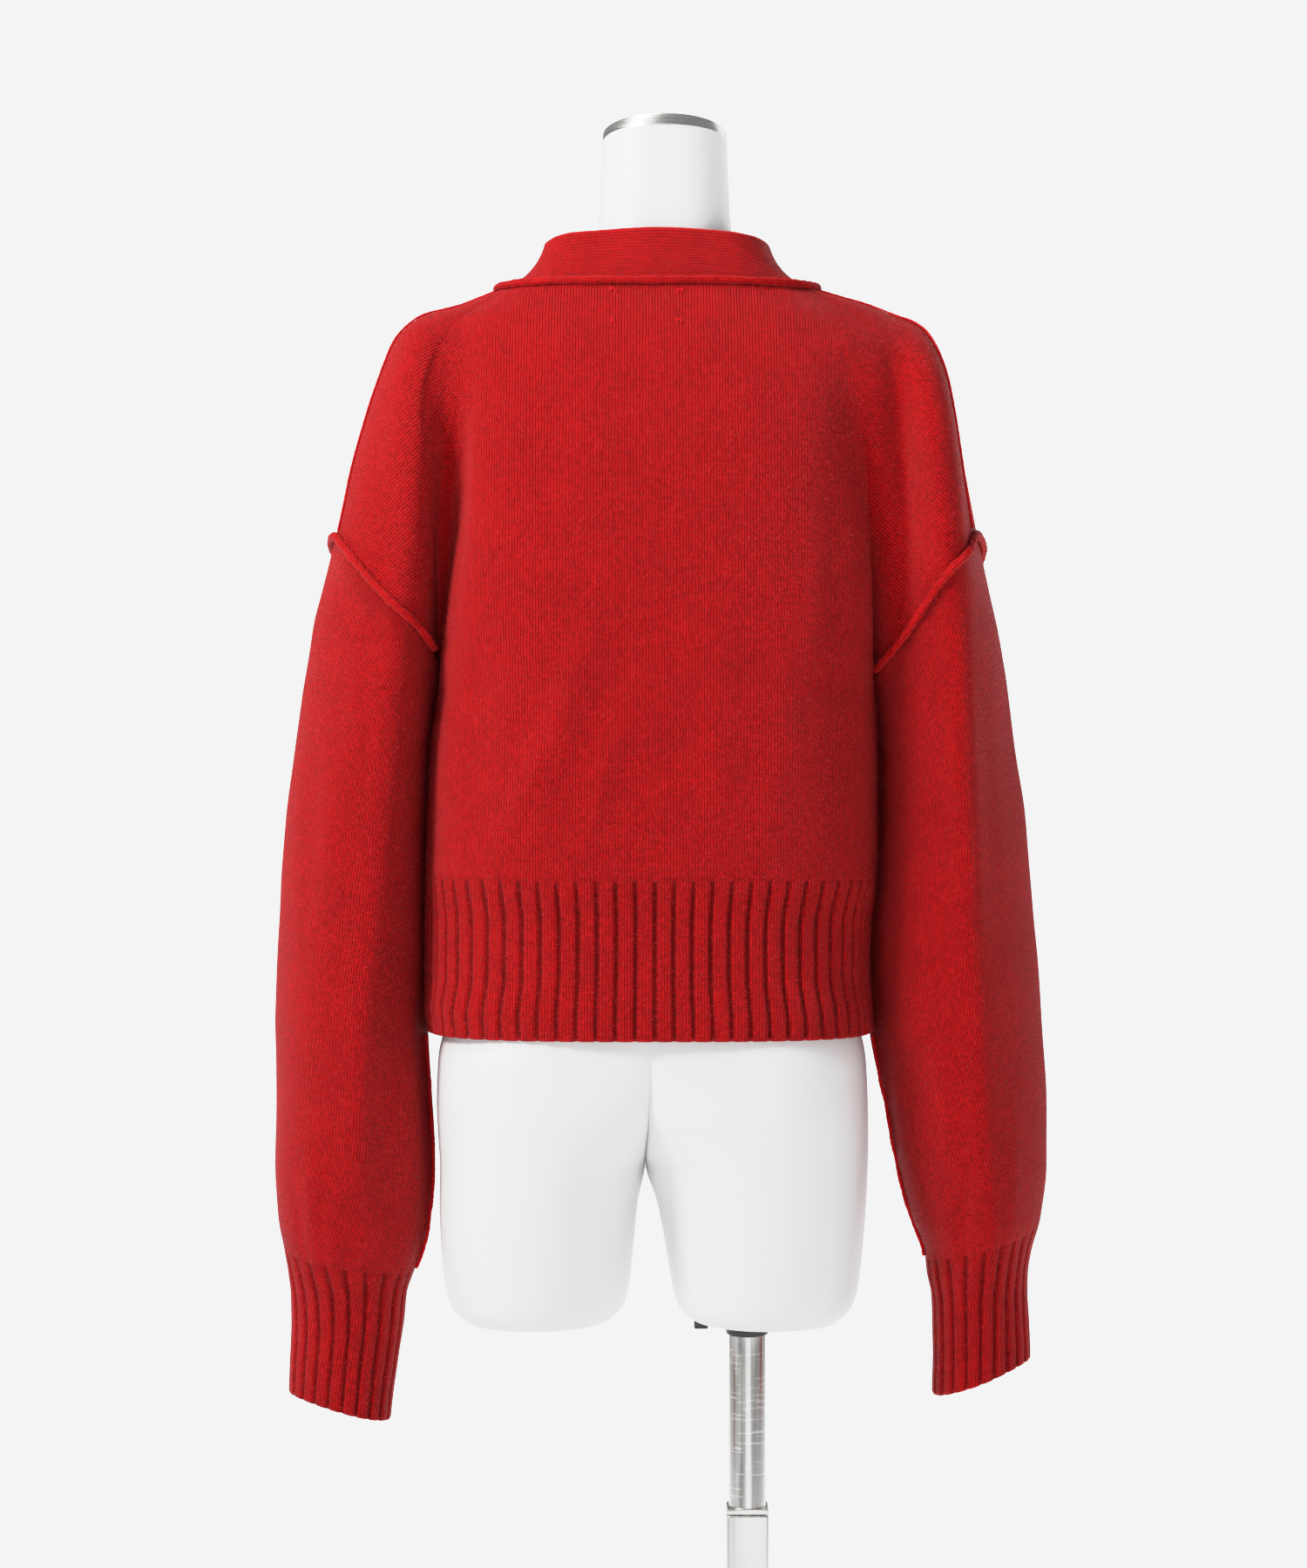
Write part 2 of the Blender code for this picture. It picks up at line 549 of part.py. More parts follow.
class Sheet:
    """A surface built from grids that share their edge points."""

    def __init__(self):
        self.points, self.normals, self.faces, self.index = [], [], [], {}

    def vertex(self, point, normal):
        key = tuple(np.round(point, 3))
        if key not in self.index:
            self.index[key] = len(self.points)
            self.points.append(np.array(point, dtype=float))
            self.normals.append(np.array(normal, dtype=float))
        return self.index[key]

    def grid(self, points, normals):
        """Adds a grid of rows and columns, and gives its vertex numbers."""
        rows, columns = points.shape[:2]
        numbers = [[self.vertex(points[i, j], normals[i, j]) for j in range(columns)]
                   for i in range(rows)]
        for i in range(rows - 1):
            for j in range(columns - 1):
                ring = [numbers[i][j], numbers[i][j + 1], numbers[i + 1][j + 1], numbers[i + 1][j]]
                corners = [number for k, number in enumerate(ring) if number != ring[k - 1]]
                if len(corners) >= 3:
                    self.faces.append(corners)
        return numbers

    def wall(self, name, thickness):
        """The sheet as knitted cloth: a wall inside it, closed round its edges."""
        count = len(self.points)
        inner = [p - n * thickness for p, n in zip(self.points, self.normals)]
        edges = {(a, b) for face in self.faces for a, b in zip(face, face[1:] + face[:1])}
        faces = list(self.faces)
        faces += [[number + count for number in reversed(face)] for face in self.faces]
        faces += [[b, a, a + count, b + count] for a, b in edges if (b, a) not in edges]
        return mesh_object(name, self.points + inner, faces, "knit")


def roll(name, points, radii, finish="knit", resolution=1):
    """A round strand through these points, as a curve with a bevel and filled caps."""
    curve = bpy.data.curves.new(name, "CURVE")
    curve.dimensions = "3D"
    curve.bevel_depth = MM
    curve.bevel_resolution = resolution
    curve.use_fill_caps = True
    spline = curve.splines.new("POLY")
    spline.points.add(len(points) - 1)
    for knot, point, radius in zip(spline.points, points, radii):
        knot.co = (*(Vector(point) * MM), 1.0)
        knot.radius = radius
    return place_object(name, curve, finish)


# ------------------------------------------------------------------ panels
PANEL_COLUMNS = 8
BACK_SHOULDER_COLUMNS = 6
FRONT_SHOULDER_COLUMNS = 8


def panel_grids(side, face, rows, centre_rows, columns, shoulder_columns):
    """The two grids of a panel on one side: centre to fold, and fold to its outer edge."""
    back = face == "back"
    fold = FOLD_EDGE - SIDE_INSET if back else FRONT_FOLD_EDGE + SIDE_INSET
    own_arc = (0.0, FOLD_EDGE) if back else (FRONT_FOLD_EDGE, 6.0)
    edge = back_edge if back else front_edge
    first = np.array([0.0 if back else band_place(side, row) - 0.0012 for row in rows])
    share = np.linspace(0.0, 1.0, columns + 1)
    places = first[:, None] + (fold - first)[:, None] * share
    heights = centre_rows[:, None] + (rows - centre_rows)[:, None] * share
    points = side.points(heights, places)
    open_normals = side.normals(heights, places, 0.0, 6.0)
    arc_normals = side.normals(heights, places, *own_arc)
    sharp = (rows <= side.valley_top + 4.0)[:, None, None]
    normals = np.where(sharp, arc_normals, open_normals)
    main = (points, normals)

    upper = rows >= side.valley_top - 1e-6
    high = rows[upper]
    inset = (-1 if back else 1) * EDGE_INSET
    ends = np.array([edge(side, row) + inset * (row >= SHOULDER_POINT) for row in high])
    steps = np.linspace(0.0, 1.0, shoulder_columns + 1)
    out_places = fold + (ends - fold)[:, None] * steps
    out_heights = np.repeat(high[:, None], shoulder_columns + 1, axis=1)
    out_points = side.points(out_heights, out_places)
    out_normals = side.normals(out_heights, out_places, 0.0, 6.0)
    out_points[:, 0], out_normals[:, 0] = points[upper, -1], normals[upper, -1]
    out_points[-1], out_normals[-1] = out_points[-1, 0], out_normals[-1, 0]
    return main, (out_points, out_normals)


def build_back():
    """The back panel, one piece from side seam to side seam."""
    sheet = Sheet()
    rows = [panel_heights(side, BACK_DROPS) for side in SIDES]
    centre_rows = (rows[0] + rows[1]) / 2
    for side, own_rows in zip(SIDES, rows):
        for points, normals in panel_grids(side, "back", own_rows, centre_rows,
                                           PANEL_COLUMNS, BACK_SHOULDER_COLUMNS):
            turn = slice(None, None, side.sign)
            sheet.grid(points[:, turn], normals[:, turn])
    sheet.wall("back", WALL)


def build_front(side):
    """One front panel, from the band's seam to the side, armhole and shoulder."""
    sheet = Sheet()
    rows = panel_heights(side, FRONT_DROPS)
    for points, normals in panel_grids(side, "front", rows, rows,
                                       PANEL_COLUMNS - 1, FRONT_SHOULDER_COLUMNS):
        turn = slice(None, None, -side.sign)
        sheet.grid(points[:, turn], normals[:, turn])
    sheet.wall(f"front_{side.name}", WALL)


# ------------------------------------------------------------------ sleeves and cuffs
SLEEVE_SHARES = (0.0, 0.03, 0.09, 0.18, 0.3, 0.42, 0.54, 0.66, 0.77, 0.86, 0.93, 0.975, 1.0)
ARMHOLE_DROP = 1.4         # the sleeve starts this far below the panels
CUFF_TOPS = {"left": (681.0, 695.0), "right": (690.0, 711.0)}      # at the inner and outer side
CUFF_FEET = {"left": (580.0, 599.0), "right": (597.5, 622.0)}


def slanted(ends, places):
    """Heights of a ring that is lower at the sleeve's inner side than at its outer side."""
    inner, outer = ends
    turn = (places - 1.0) / 4.0
    return inner + (outer - inner) * (1 - np.cos(2 * math.pi * turn)) / 2


def armhole_loop(side):
    """The armhole's heights and places, from the underarm over the back and round to it again."""
    back = [(row, back_edge(side, row) if row > side.valley_top + 1e-6 else 1.0)
            for row in armhole_heights(side, BACK_DROPS)]
    front = [(row, front_edge(side, row) if row > side.valley_top + 1e-6 else FRONT_SLEEVE_EDGE)
             for row in armhole_heights(side, FRONT_DROPS)]
    loop = back[::-1] + front[1:]
    return np.array([row for row, _ in loop]), np.array([place for _, place in loop])


def build_sleeve(side):
    """A sleeve: a tube from the slanted armhole to the slanted top of its cuff."""
    sheet = Sheet()
    top_heights, top_places = armhole_loop(side)
    count = len(top_heights)
    foot_places = np.linspace(1.0, FRONT_SLEEVE_EDGE, count)
    foot_heights = slanted(CUFF_TOPS[side.name], foot_places) + SEAM_GAP / 2
    shares = np.array(SLEEVE_SHARES)[:, None]
    spread = np.clip(shares / 0.3, 0.0, 1.0)
    spread = spread * spread * (3 - 2 * spread)
    heights = (top_heights - ARMHOLE_DROP) + (foot_heights - top_heights + ARMHOLE_DROP) * shares
    places = top_places + (foot_places - top_places) * spread
    points = side.points(heights, places)
    normals = side.normals(heights, places, 1.0, FRONT_SLEEVE_EDGE)
    closed = slice(1, None)
    points[closed, -1], normals[closed, -1] = points[closed, 0], normals[closed, 0]
    points[0, -1], normals[0, -1] = points[0, 0], normals[0, 0]
    normals[:, 0] = normals[:, -1] = (-side.sign, 0, 0)
    turn = slice(None, None, side.sign)
    sheet.grid(points[:, turn], normals[:, turn])
    sheet.wall(f"sleeve_{side.name}", WALL)


def ribbed_wall(name, read, count, heights_of, rows, ring):
    """A wall whose ribs are raised in its outer points over a plain inside.

    read(height, t) gives a point and its normal, for t from 0 to 1 along the piece.
    """
    shares = [(k + part) / count for k in range(count) for part in (0.0, *RIB_FLAT)]
    raised = [0.0, 1.0, 1.0] * count
    inner_shares = [k / count for k in range(count)]
    if not ring:
        shares, raised, inner_shares = shares + [1.0], raised + [0.0], inner_shares + [1.0]
    points = []
    for row in range(rows):
        for t, lift in zip(shares, raised):
            point, normal = read(heights_of(row, t), t)
            points.append(point - normal * RIB_RELIEF * (1 - lift))
    wide, narrow = len(shares), len(inner_shares)
    first_inner = len(points)
    for row in range(rows):
        for t in inner_shares:
            point, normal = read(heights_of(row, t), t)
            points.append(point - normal * (RIB_RELIEF + RIB_WALL))

    def outer(row, k):
        return row * wide + k % wide

    def inner(row, k):
        return first_inner + row * narrow + k % narrow

    faces = []
    for row in range(rows - 1):
        faces += [[outer(row, k), outer(row, k + 1), outer(row + 1, k + 1), outer(row + 1, k)]
                  for k in range(3 * count)]
        faces += [[inner(row, k + 1), inner(row, k), inner(row + 1, k), inner(row + 1, k + 1)]
                  for k in range(count)]
    for row, way in ((0, -1), (rows - 1, 1)):
        for k in range(count):
            edge = [outer(row, 3 * k + part) for part in range(4)] + [inner(row, k + 1), inner(row, k)]
            faces.append(edge[::way])
    if not ring:
        for k, own, way in ((0, 0, 1), (3 * count, count, -1)):
            for row in range(rows - 1):
                end = [outer(row, k), outer(row + 1, k), inner(row + 1, own), inner(row, own)]
                faces.append(end[::way])
    mesh_object(name, points, faces, "knit")


def build_cuff(side):
    """A cuff of upright ribs round the sleeve's end."""
    tops, feet = CUFF_TOPS[side.name], CUFF_FEET[side.name]
    rows = 4

    def heights_of(row, t):
        places = 1.0 + 4.0 * t
        top = slanted(tops, places) - SEAM_GAP / 2
        foot = slanted(feet, places)
        return top + (foot - top) * row / (rows - 1)

    def read(height, t):
        place = np.array([1.0 + (FRONT_SLEEVE_EDGE - 1.0) * t])
        level = np.array([height])
        normal = side.normals(level, place, 1.0, FRONT_SLEEVE_EDGE)[0]
        if t == 0.0:
            normal = np.array((-side.sign, 0.0, 0.0))
        return side.points(level, place)[0], normal

    ribbed_wall(f"cuff_{side.name}", read, CUFF_RIBS, heights_of, rows, ring=True)


HEM_ROWS = (HEM_TOP - SEAM_GAP / 2, 922.0, 888.0, HEM_BOTTOM)


def build_hem(name, first, last, count, read_place):
    """A panel's hem rib, between two seams."""
    def read(height, t):
        side, place = read_place(height, first + (last - first) * t)
        level, places = np.array([height]), np.array([place])
        low, high = (0.0, FOLD_EDGE) if place < 3 else (FRONT_FOLD_EDGE, 6.0)
        return side.points(level, places)[0], side.normals(level, places, low, high)[0]

    ribbed_wall(name, read, count, lambda row, t: HEM_ROWS[row], len(HEM_ROWS), ring=False)


def build_hems():
    """The three hem ribs: back, and one under each front."""
    def back_place(height, t):
        return (LEFT if t <= 0 else RIGHT), min(abs(t), FOLD_EDGE - SIDE_INSET)

    build_hem("back_rib", -1.0, 1.0, BACK_RIBS, back_place)
    for side in SIDES:
        def front_place(height, t, side=side):
            start = FRONT_FOLD_EDGE + SIDE_INSET
            end = band_place(side, height) - 0.0016
            return side, start + (end - start) * t

        build_hem(f"front_{side.name}_rib", 0.0, 1.0, FRONT_RIBS, front_place)


# ------------------------------------------------------------------ band, buttons, seams
BAND_BACK_STEPS = 7
BAND_SIDE_STEPS = 4
V_HEIGHTS = ABOVE_SHOULDER
BAND_HEIGHTS = (1196.0, 1156.0, 1116.0, 1076.0, 1036.0, 996.0, 956.0, 916.0, 876.0, HEM_BOTTOM)
BAND_INSET = 0.0048        # the band's gap to the front panel, as a share of that panel's arc
BAND_LIFTS = {"neck": SEAM_GAP, "corner": 4 * SEAM_GAP}


def neck_path(side):
    """Heights and places of the band's seam from the centre back to the hem, and what part each
    point belongs to: the neck, its front corner, the V, or the straight front."""
    seam = seam_place(side, NECK_LINE)
    corner = band_place(side, NECK_LINE) + BAND_INSET
    level = list(np.linspace(0.0, seam, BAND_BACK_STEPS))
    level += list(np.linspace(seam, corner, BAND_SIDE_STEPS)[1:])
    path = [(NECK_LINE, place, "neck") for place in level[:-1]] + [(NECK_LINE, corner, "corner")]
    path += [(height, band_place(side, height), "v") for height in V_HEIGHTS]
    path += [(height, band_place(side, height), "front") for height in BAND_HEIGHTS]
    return path


def band_rows(side):
    """Three points across the band for each step of its seam: seam, middle and free edge."""
    path = neck_path(side)
    seam = []
    for height, place, part in path:
        lift = BAND_LIFTS.get(part, 0.0)
        inset = 0.0 if part in BAND_LIFTS else BAND_INSET
        seam.append(side.points(np.array([height + lift]), np.array([place + inset]))[0])
    seam = np.array(seam)
    steps = np.concatenate(([0.0], np.cumsum(np.linalg.norm(np.diff(seam, axis=0), axis=1))))
    v_end = max(k for k, step in enumerate(path) if step[2] == "v")
    stations = np.minimum(steps / steps[v_end], 1.0)
    rows = []
    other = RIGHT if side is LEFT else LEFT
    for (height, place, part), point, station in zip(path, seam, stations):
        shape = BAND.at(station)
        if part == "front":
            free_x = BAND_EDGE - 0.4 - BAND.at(1.0).inward
            free = on_surface(other, height, other.place_of_x(height, -free_x, 5.0, 6.0), 0.0)
        else:
            aim = np.array((0.0, min(point[1], -10.0)))
            way = aim - point[:2]
            way = way / max(np.linalg.norm(way), 1e-6)
            free = point + np.array((*(way * shape.inward), shape.rise)) + np.array((0.0, shape.back, 0.0))
        lap = np.clip((station - 0.72) / 0.2, 0.0, 1.0) * LAP
        outwards = -1.0 if side is RIGHT else 1.0
        free = free + np.array((0.0, outwards * lap, 0.0))
        middle = (point + free) / 2
        if part != "front":
            middle = middle + np.array((*(way * 0.8), -0.6)) * shape.hollow
        rows.append((point, middle, free))
    return np.array(rows)


def build_band():
    """The band: up the left front, round the neck and down the right front, one strip."""
    left, right = band_rows(LEFT), band_rows(RIGHT)
    rows = np.concatenate((left[::-1], right[1:]))
    along = np.gradient(rows, axis=0)
    across = np.gradient(rows, axis=1)
    normals = np.cross(along, across)
    normals /= np.linalg.norm(normals, axis=-1, keepdims=True)
    outwards = rows * (0.3, 1.0, 0.0)
    flip = np.where((normals * outwards).sum(axis=-1, keepdims=True) < 0, -1.0, 1.0)
    normals = normals * flip
    sheet = Sheet()
    sheet.grid(rows, normals)
    sheet.wall("front_band", WALL)
    return right, normals[len(left) - 1:]


def build_buttons(band, normals):
    """Five buttons on the right front band, which laps over the left."""
    for number, height in enumerate(BUTTON_HEIGHTS, 1):
        row = int(np.argmin(np.abs(band[:, 1, 2] - height)))
        normal = Vector(normals[row, 1])
        centre = Vector(band[row, 1]) + normal * (BUTTON_DEPTH / 2 + LIE_GAP)
        shape = bmesh.new()
        bmesh.ops.create_cone(shape, cap_ends=True, segments=16, depth=BUTTON_DEPTH * MM,
                              radius1=BUTTON_RADIUS * MM, radius2=BUTTON_RADIUS * MM * 0.9)
        turn = Vector((0, 0, 1)).rotation_difference(normal)
        bmesh.ops.rotate(shape, verts=shape.verts, matrix=turn.to_matrix())
        bmesh.ops.translate(shape, verts=shape.verts, vec=centre * MM)
        mesh = bpy.data.meshes.new(f"button_{number}")
        shape.to_mesh(mesh)
        shape.free()
        smooth_mesh(mesh, 30.0)
        place_object(f"button_{number}", mesh, "button")


def on_surface(side, height, place, lift, first=0.0, last=6.0):
    """A point this far out from the surface."""
    heights, places = np.array([height]), np.array([place])
    return side.points(heights, places)[0] + side.normals(heights, places, first, last)[0] * lift


def build_band_seam():
    """The rope-like seam on the panels beside the band, from hem to hem round the neck."""
    lift = ROLL_RADIUS + ROLL_GAP
    halves = []
    for side in SIDES:
        half = []
        for height, place, part in neck_path(side):
            heights, places = np.array([height]), np.array([place])
            if part in BAND_LIFTS:
                climb = side.points(heights, places)[0] - side.points(heights - 1.0, places)[0]
                drop = (ROLL_RADIUS + 1.0) / np.linalg.norm(climb)
                half.append(on_surface(side, height - drop, place, lift))
            else:
                beside = side.place_of_x(height, abs(side.points(heights, places)[0][0]) + ROLL_RADIUS + 0.6,
                                         3.05, 6.0)
                half.append(on_surface(side, height, beside, lift))
        half[-1][2] += 0.5
        halves.append(half)
    path = halves[0][::-1] + halves[1][1:]
    roll("band_seam", path, [ROLL_RADIUS] * len(path))


ROLL_START_BACK = 13.0     # the armhole's roll shows from this far above the fold's foot
ROLL_START_FRONT = 26.0


def build_seams(side):
    """The shoulder, armhole and underarm seams of one side, linked outwards."""
    heights = [row for row in ABOVE_SHOULDER if row > SHOULDER_POINT + 8]
    lift = SHOULDER_ROLL + LIE_GAP
    path = [on_surface(side, row, seam_place(side, row), lift) for row in heights]
    path.append(on_surface(side, SHOULDER_POINT + 9.0, seam_place(side, SHOULDER_POINT + 9.0), lift))
    roll(f"shoulder_seam_{side.name}", path, [SHOULDER_ROLL] * len(path))

    loop = [(row, place) for row, place in zip(*armhole_loop(side))
            if row > side.valley_top + (ROLL_START_BACK if place < 3 else ROLL_START_FRONT)]
    path = [on_surface(side, row, place, ROLL_RADIUS + side.roll_gap) for row, place in loop]
    radii = [ROLL_RADIUS] * len(path)
    roll(f"armhole_seam_{side.name}", path, radii)

    top = HEM_BOTTOM - 14.0
    foot = CUFF_TOPS[side.name][0] + 5.0
    lift = SLEEVE_ROLL + LIE_GAP
    rows = np.linspace(top, foot, 11)
    inner_edge = side.points(rows, np.ones_like(rows))
    path = inner_edge - np.array((side.sign * lift, 0, 0))
    roll(f"sleeve_seam_{side.name}", path, [SLEEVE_ROLL] * len(path))


# ------------------------------------------------------------------ dress form and stand
FORM_ARC = 4


def form_half(row, sign):
    """Half of the form's section: cleft to crest to outline, back then front."""
    extent = row.left if sign > 0 else row.right
    start = sign * row.split + row.gap
    crest = start + (extent - start) * row.crest
    points = []
    for face, depth in ((1, row.back), (-1, row.front)):
        rise = quarter((start, depth * row.cleft), (crest, depth), 2.0, True)
        fall = quarter((crest, depth), (extent, 0), FORM_SQUARE, False)
        arc = np.vstack((even(rise, FORM_ARC + 1), even(fall, FORM_ARC + 2)[1:]))
        points.append(arc * (sign, face))
    return np.vstack((points[0], points[1][-2::-1]))


def build_form():
    """The limbless form: neck, shoulders, hips and two thigh stubs, whole and smooth."""
    sheet = Sheet()
    rows = [(height, FORM.at(height)) for height in sorted((r[0] for r in FORM_ROWS), reverse=True)]
    caps = []
    for sign in (1, -1):
        grid = []
        for height, row in rows:
            flat = form_half(row, sign)
            tip = np.clip((height - 1408.0) / (NECK_TOP - 1408.0), 0.0, 1.0) ** 1.5
            level = height + flat[:, 1] * math.tan(NECK_TILT) * tip
            grid.append(np.column_stack((flat, level)))
        grid = np.array(grid)[:, ::sign]
        caps.append(sheet.grid(grid, np.zeros_like(grid)))
    left, right = caps
    top = left[0][::-1] + right[0][::-1][1:-1]
    faces = sheet.faces + [top, left[-1][:-1], right[-1][:-1]]
    mesh_object("dress_form", sheet.points, faces, "form_white")


def cylinder(name, radius, low, high, centre, finish, segments=28, tilt=0.0, bevel=0.0):
    """A round post between two heights."""
    shape = bmesh.new()
    bmesh.ops.create_cone(shape, cap_ends=True, segments=segments, depth=(high - low) * MM,
                          radius1=radius * MM, radius2=radius * MM)
    mesh = bpy.data.meshes.new(name)
    shape.to_mesh(mesh)
    shape.free()
    smooth_mesh(mesh)
    piece = place_object(name, mesh, finish)
    piece.location = (centre[0] * MM, centre[1] * MM, (low + high) / 2 * MM)
    piece.rotation_euler = (tilt, 0, 0)
    if bevel:
        edge = piece.modifiers.new("rounded edge", "BEVEL")
        edge.width = bevel * MM
        edge.segments = 1
        edge.limit_method = "ANGLE"
    return piece


def box(name, size, centre, finish):
    """A block by its size and centre in millimetres."""
    shape = bmesh.new()
    bmesh.ops.create_cube(shape, size=1.0)
    bmesh.ops.scale(shape, vec=Vector(size) * MM, verts=shape.verts)
    mesh = bpy.data.meshes.new(name)
    shape.to_mesh(mesh)
    shape.free()
    piece = place_object(name, mesh, finish)
    piece.location = Vector(centre) * MM
    return piece


def build_stand():
    """Neck cap, clamp, round pole, square tube and base plate."""
    neck_y = (FORM.at(NECK_TOP).back - FORM.at(NECK_TOP).front) / 2
    seat = NECK_TOP + neck_y * math.tan(NECK_TILT)
    rise = 0.3 + NECK_CAP_DEPTH / 2
    middle = seat + rise * math.cos(NECK_TILT)
    cylinder("neck_cap", NECK_CAP_RADIUS, middle - NECK_CAP_DEPTH / 2, middle + NECK_CAP_DEPTH / 2,
             (-6.5, neck_y - rise * math.sin(NECK_TILT)), "brushed_steel", 32, NECK_TILT, 1.2)
    cylinder("clamp_collar", COLLAR_RADIUS, POLE_TOP + 0.3, COLLAR_TOP, (POLE_X, 0), "black_plastic", 24)
    knob_z = (POLE_TOP + COLLAR_TOP) / 2 + 1.0
    reach = POLE_X + COLLAR_RADIUS + 0.3
    roll("clamp_knob", [(reach, 0, knob_z), (-37.0, 0, knob_z), (-36.6, 0, knob_z), (-27.0, 0, knob_z)],
         [2.0, 2.0, 4.2, 4.2], "black_plastic", 2)
    cylinder("pole", POLE_RADIUS, POLE_BOTTOM, POLE_TOP, (POLE_X, 0), "brushed_steel", 32)

    cap = box("tube_cap", (TUBE_SIDE, TUBE_SIDE, TUBE_CAP_DEPTH),
              (POLE_X, 0, TUBE_TOP + 0.3 + TUBE_CAP_DEPTH / 2), "brushed_steel")
    hole = cylinder("pole_hole", POLE_RADIUS + POLE_CLEARANCE, TUBE_TOP - 20, TUBE_TOP + 20,
                    (POLE_X, 0), "brushed_steel", 32)
    bpy.data.collections[MODEL].objects.unlink(hole)
    bpy.data.collections[CUTTERS].objects.link(hole)
    hole.hide_render = True
    hole.display_type = "WIRE"
    cut = cap.modifiers.new("pole hole", "BOOLEAN")
    cut.operation = "DIFFERENCE"
    cut.object = hole

    low = BASE_DEPTH + 0.3
    tube = box("stand_tube", (TUBE_SIDE, TUBE_SIDE, TUBE_TOP - low), (POLE_X, 0, (TUBE_TOP + low) / 2),
               "brushed_steel")
    shape = bmesh.new()
    shape.from_mesh(tube.data)
    ends = [face for face in shape.faces if abs(face.normal.z) > 0.5]
    bmesh.ops.delete(shape, geom=ends, context="FACES_ONLY")
    shape.to_mesh(tube.data)
    shape.free()
    wall = tube.modifiers.new("tube wall", "SOLIDIFY")
    wall.thickness = TUBE_WALL * MM
    wall.use_even_offset = True
    base = box("base_plate", (BASE_SIDE, BASE_SIDE, BASE_DEPTH), (0, 0, BASE_DEPTH / 2), "brushed_steel")
    edge = base.modifiers.new("rounded corners", "BEVEL")
    edge.width = 1.0 * MM
    edge.segments = 1


def main():
    for leftover in list(bpy.data.objects):
        bpy.data.objects.remove(leftover, do_unlink=True)
    for name in (MODEL, CUTTERS):
        collection = bpy.data.collections.new(name)
        bpy.context.scene.collection.children.link(collection)
    build_back()
    build_hems()
    for side in SIDES:
        build_front(side)
        build_sleeve(side)
        build_cuff(side)
        build_seams(side)
    band, normals = build_band()
    build_buttons(band, normals)
    build_band_seam()
    build_form()
    build_stand()


main()
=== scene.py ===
"""Looks of a cropped knitted cardigan worn by a limbless dress form on a pole stand.

The tables hold real sizes in millimetres, as a knitter would write them, and every mesh is made in
metres. The wearer's left is +X and the back is +Y.

Half of the garment's level section is six arcs, and a place on it is a number from 0 to 6:
0-1 back panel, centre to underarm fold   1-2 inside of the sleeve, back   2-3 outer flank, back
3-4 outer flank, front   4-5 inside of the sleeve, front   5-6 front panel, fold to centre.
Above the underarm the six arcs are one curve. Below it, 1-5 closes into the sleeve and the rest is
the body.
"""

import json
import math
from types import SimpleNamespace

import bmesh
import bpy
import numpy as np
from mathutils import Matrix, Vector

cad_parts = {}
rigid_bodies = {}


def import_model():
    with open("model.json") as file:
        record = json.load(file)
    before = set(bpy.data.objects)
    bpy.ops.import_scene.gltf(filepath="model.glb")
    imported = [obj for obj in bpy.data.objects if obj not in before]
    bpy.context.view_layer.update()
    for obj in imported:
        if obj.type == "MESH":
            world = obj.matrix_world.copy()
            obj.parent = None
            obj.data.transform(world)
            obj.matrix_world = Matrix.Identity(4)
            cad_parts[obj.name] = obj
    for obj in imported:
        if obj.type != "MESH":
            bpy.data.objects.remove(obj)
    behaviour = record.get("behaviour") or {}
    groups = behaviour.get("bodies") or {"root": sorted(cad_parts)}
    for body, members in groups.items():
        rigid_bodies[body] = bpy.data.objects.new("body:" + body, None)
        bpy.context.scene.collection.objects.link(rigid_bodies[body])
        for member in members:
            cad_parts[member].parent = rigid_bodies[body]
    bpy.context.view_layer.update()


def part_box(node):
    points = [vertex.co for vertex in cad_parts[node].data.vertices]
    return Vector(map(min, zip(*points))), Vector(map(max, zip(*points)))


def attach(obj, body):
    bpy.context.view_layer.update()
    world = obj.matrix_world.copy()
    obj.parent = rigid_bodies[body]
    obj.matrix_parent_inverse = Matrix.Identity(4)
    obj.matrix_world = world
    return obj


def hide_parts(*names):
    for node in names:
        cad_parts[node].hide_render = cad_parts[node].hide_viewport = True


bl_info = {
    "name": "Cropped cardigan on a dress form",
    "version": (1, 0, 0),
    "blender": (4, 5, 0),
    "location": "3D View > Sidebar > Cardigan",
    "description": "Knitted panels, ribs, rolled seams, buttons, dress form, stand and studio",
    "category": "Object",
}

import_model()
MM = 0.001
FIGURE, MAST, STAND = "figure", "mast", "stand"

# ---- cut lines, in millimetres
SEAM_GAP = 0.36            # between pieces at a seam
HEM_TOP = 955.0            # where the body's knit turns to rib
HEM_BOTTOM = 850.0
UNDERARM = 1080.0          # the armhole's lowest point
SHOULDER_POINT = 1190.0    # where shoulder seam and armhole meet
NECK_LINE = 1362.0         # the neck seam, level round the back and sides
BAND_EDGE = 18.5           # the front band's seam from the centre front
V_POINT = 1215.0           # where the two fronts meet
V_TOP_X = 94.0             # the neck line's place on the front at the height of the neck seam
LAP = 3.6                  # one front band lies this far over the other at its free edge
RIB_RELIEF = 1.9           # a rib stands this far above its furrow
RIB_WALL = 2.3             # the wall under a furrow
BACK_RIBS = 34
FRONT_RIBS = 15
CUFF_RIBS = 21
ROLL_RADIUS = 2.9          # armhole and neck seams, linked outwards
BUTTON_HEIGHTS = (1196.0, 1116.0, 1036.0, 956.0, 876.0)

